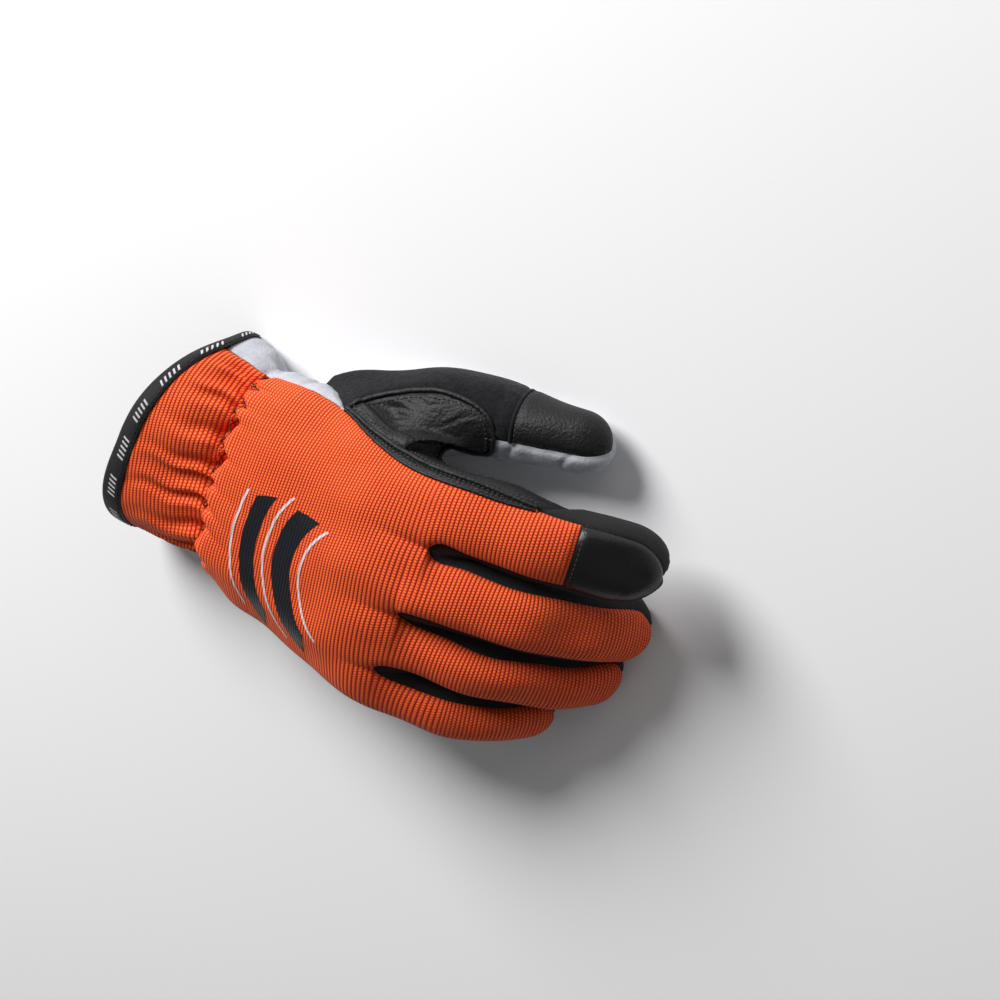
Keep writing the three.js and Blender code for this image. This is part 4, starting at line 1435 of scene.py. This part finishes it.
tipGrid = pool.places["indexTip"][0]
thumbGrid = pool.places["thumbTip"][0]
rideAlone(alongPaths("tipStitches", "stitchRow",
                     [ringRow("indexTip", tipGrid, 0, 1.6), ringRow("thumbTip", thumbGrid, 0, 1.6)],
                     greyThread, Pitch=1.9, Length=1.3, Thickness=0.35))
rideAlone(alongPaths("thumbTipRidge", "threadLine",
                     [(skin[thumbGrid[0]] + plainNormals[thumbGrid[0]] * 0.1, False)],
                     charcoalCloth, Radius=0.8))

# The tape's own stitches, just inside its edge
tapeAngles = np.linspace(0, 360, 721)[:-1]
tapeX = -cuff["length"] + binding["stitchLine"] + 0 * tapeAngles
tapeLine = handPoint(tapeX, tapeAngles)
tapeTree = BVHTree.FromPolygons([tuple(v.co / mm) for v in tape.data.vertices],
                                [tuple(face.vertices) for face in tape.data.polygons])
tapePath = []
for point in tablePoints(tapeLine + handNormal(tapeX, tapeAngles) * 4):
    place, normal, _, _ = tapeTree.find_nearest(Vector(point))
    tapePath.append(np.array(place) + np.array(normal) * 0.08)
rideAlone(alongPaths("tapeStitches", "stitchRow", [(tapePath, True)], blackGloss,
                     Pitch=2.6, Length=1.9, Thickness=0.4))
print("threads and stitches")

# Printed film on the back: rings' arcs round one centre, dark bands and thin pale lines
film = {
    "step": 0.6, "lift": 0.16, "centre": (84, -6),
    # radius, from, to (degrees), width
    "dark": [(40, 148, 232, 9), (57, 160, 216, 7)],
    "pale": [(31, 140, 236, 1.1), (49, 150, 226, 1.1), (65, 164, 210, 1.1)],
}


def filmObject(name, arcs, material):
    tree, faces = outerTree("backPanel")
    a = math.radians(rest["pitch"])
    down = Vector((math.sin(a), 0, -math.cos(a)))
    points, uvs, quads = [], [], []
    for radius, start, end, width in arcs:
        rows = round(radius * math.radians(end - start) / film["step"]) + 1
        columns = max(round(width / film["step"]), 2) + 1
        first = len(points)
        for i in range(rows):
            for j in range(columns):
                out = radius + (j / (columns - 1) - 0.5) * width
                # slanted ends
                angle = mix(start, end, i / (rows - 1)) + (out - radius) * 0.9
                x = film["centre"][0] + out * cosD(angle)
                y = film["centre"][1] + out * sinD(angle)
                above = tablePoints([(x, y, 60)])[0]
                place, normal, face, _ = tree.ray_cast(Vector(above), down)
                corners = [Vector(skin[v]) for v in faces[face]]
                weights = poly_3d_calc(corners, place)
                uvs.append(sum(w * pool.uvs["backPanel"][v] for w, v in zip(weights, faces[face])))
                points.append(np.array(place) + np.array(normal) * film["lift"])
        for i in range(rows - 1):
            for j in range(columns - 1):
                q = first + i * columns + j
                quads.append([q, q + columns, q + columns + 1, q + 1])
    obj = makeMesh(name, points, quads, np.array(uvs))
    obj.data.materials.append(material)
    return rideAlone(obj)


def filmMaterial(name, dark, light, roughness):
    n = Nodes(name, roughness, Specular_IOR_Level=0.3)
    height = knitHeight(n)
    n.color(n.ramp(n.math("ADD", n.math("MULTIPLY", height, 0.6), n.math("MULTIPLY", n.noise(120), 0.4)),
                   [(0.2, dark), (0.8, light)]))
    n.bump((height, knit["depth"] * 0.4))
    return n.material


darkFilm = filmMaterial("darkFilm", (0.004, 0.0045, 0.007), (0.012, 0.013, 0.018), 0.4)
paleFilm = filmMaterial("paleFilm", (0.5, 0.36, 0.36), (0.8, 0.68, 0.7), 0.5)
filmObject("darkFilm", film["dark"], darkFilm)
filmObject("paleFilm", film["pale"], paleFilm)
print("printed film")


# Camera, where the photograph was taken from
camera = {"back": (0.488, 0.479, 0.73), "right": (0.724, 0.245, -0.645), "pivot": (60, 0, 0),
          "distance": 900, "focal": 2376, "pivotPixel": (360.73, 549.16), "frame": 1000}


def setCamera():
    a = math.radians(rest["pitch"])
    toTable = Matrix(((math.cos(a), 0, -math.sin(a)), (0, 1, 0), (math.sin(a), 0, math.cos(a))))
    back = (toTable @ Vector(camera["back"])).normalized()
    right = toTable @ Vector(camera["right"])
    right = (right - back * right.dot(back)).normalized()
    up = back.cross(right)
    pivot = toTable @ Vector(camera["pivot"]) + Vector((*rest["shift"], rest["height"]))
    data = bpy.data.cameras.new("photoView")
    obj = link(bpy.data.objects.new("photoView", data))
    place = Matrix((right, up, back)).transposed().to_4x4()
    place.translation = (pivot + back * camera["distance"]) * mm
    obj.matrix_world = place
    data.lens = data.sensor_width * camera["focal"] / camera["frame"]
    data.shift_x = 0.5 - camera["pivotPixel"][0] / camera["frame"]
    data.shift_y = camera["pivotPixel"][1] / camera["frame"] - 0.5
    data.clip_start = 0.01
    bpy.context.scene.camera = obj


# Studio: pale floor, soft lights
studio = {
    "floor": (0.95, 0.95, 0.96), "floorReach": 9000, "sky": 0.13,
    # place, size, power
    "lights": [((-1.0, 0.9, 0.8), 0.8, 36), ((1.2, -0.3, 0.9), 1.4, 0.6), ((0.3, 1.4, 0.5), 1.0, 2.5)],
}


def setStudio():
    world = bpy.data.worlds.new("studio")
    bpy.context.scene.world = world
    world.use_nodes = True
    world.node_tree.nodes["Background"].inputs[0].default_value = (1, 1, 1, 1)
    world.node_tree.nodes["Background"].inputs[1].default_value = studio["sky"]
    for place, size, strength in studio["lights"]:
        data = bpy.data.lights.new("softLight", "AREA")
        data.shape = "DISK"
        data.size = size
        data.energy = strength
        obj = link(bpy.data.objects.new("softLight", data))
        obj.location = place
        obj.rotation_euler = Vector(place).to_track_quat("Z", "Y").to_euler()
    far = studio["floorReach"]
    corners = [(-far, -far, 0), (far, -far, 0), (far, far, 0), (-far, far, 0)]
    floor = makeMesh("floor", corners, [[0, 1, 2, 3]])
    paint = Nodes("paleFloor", 0.9)
    paint.shader.inputs["Base Color"].default_value = (*studio["floor"], 1)
    floor.data.materials.append(paint.material)


setCamera()
setStudio()
bpy.context.scene.view_settings.view_transform = "Standard"
print("camera and studio")
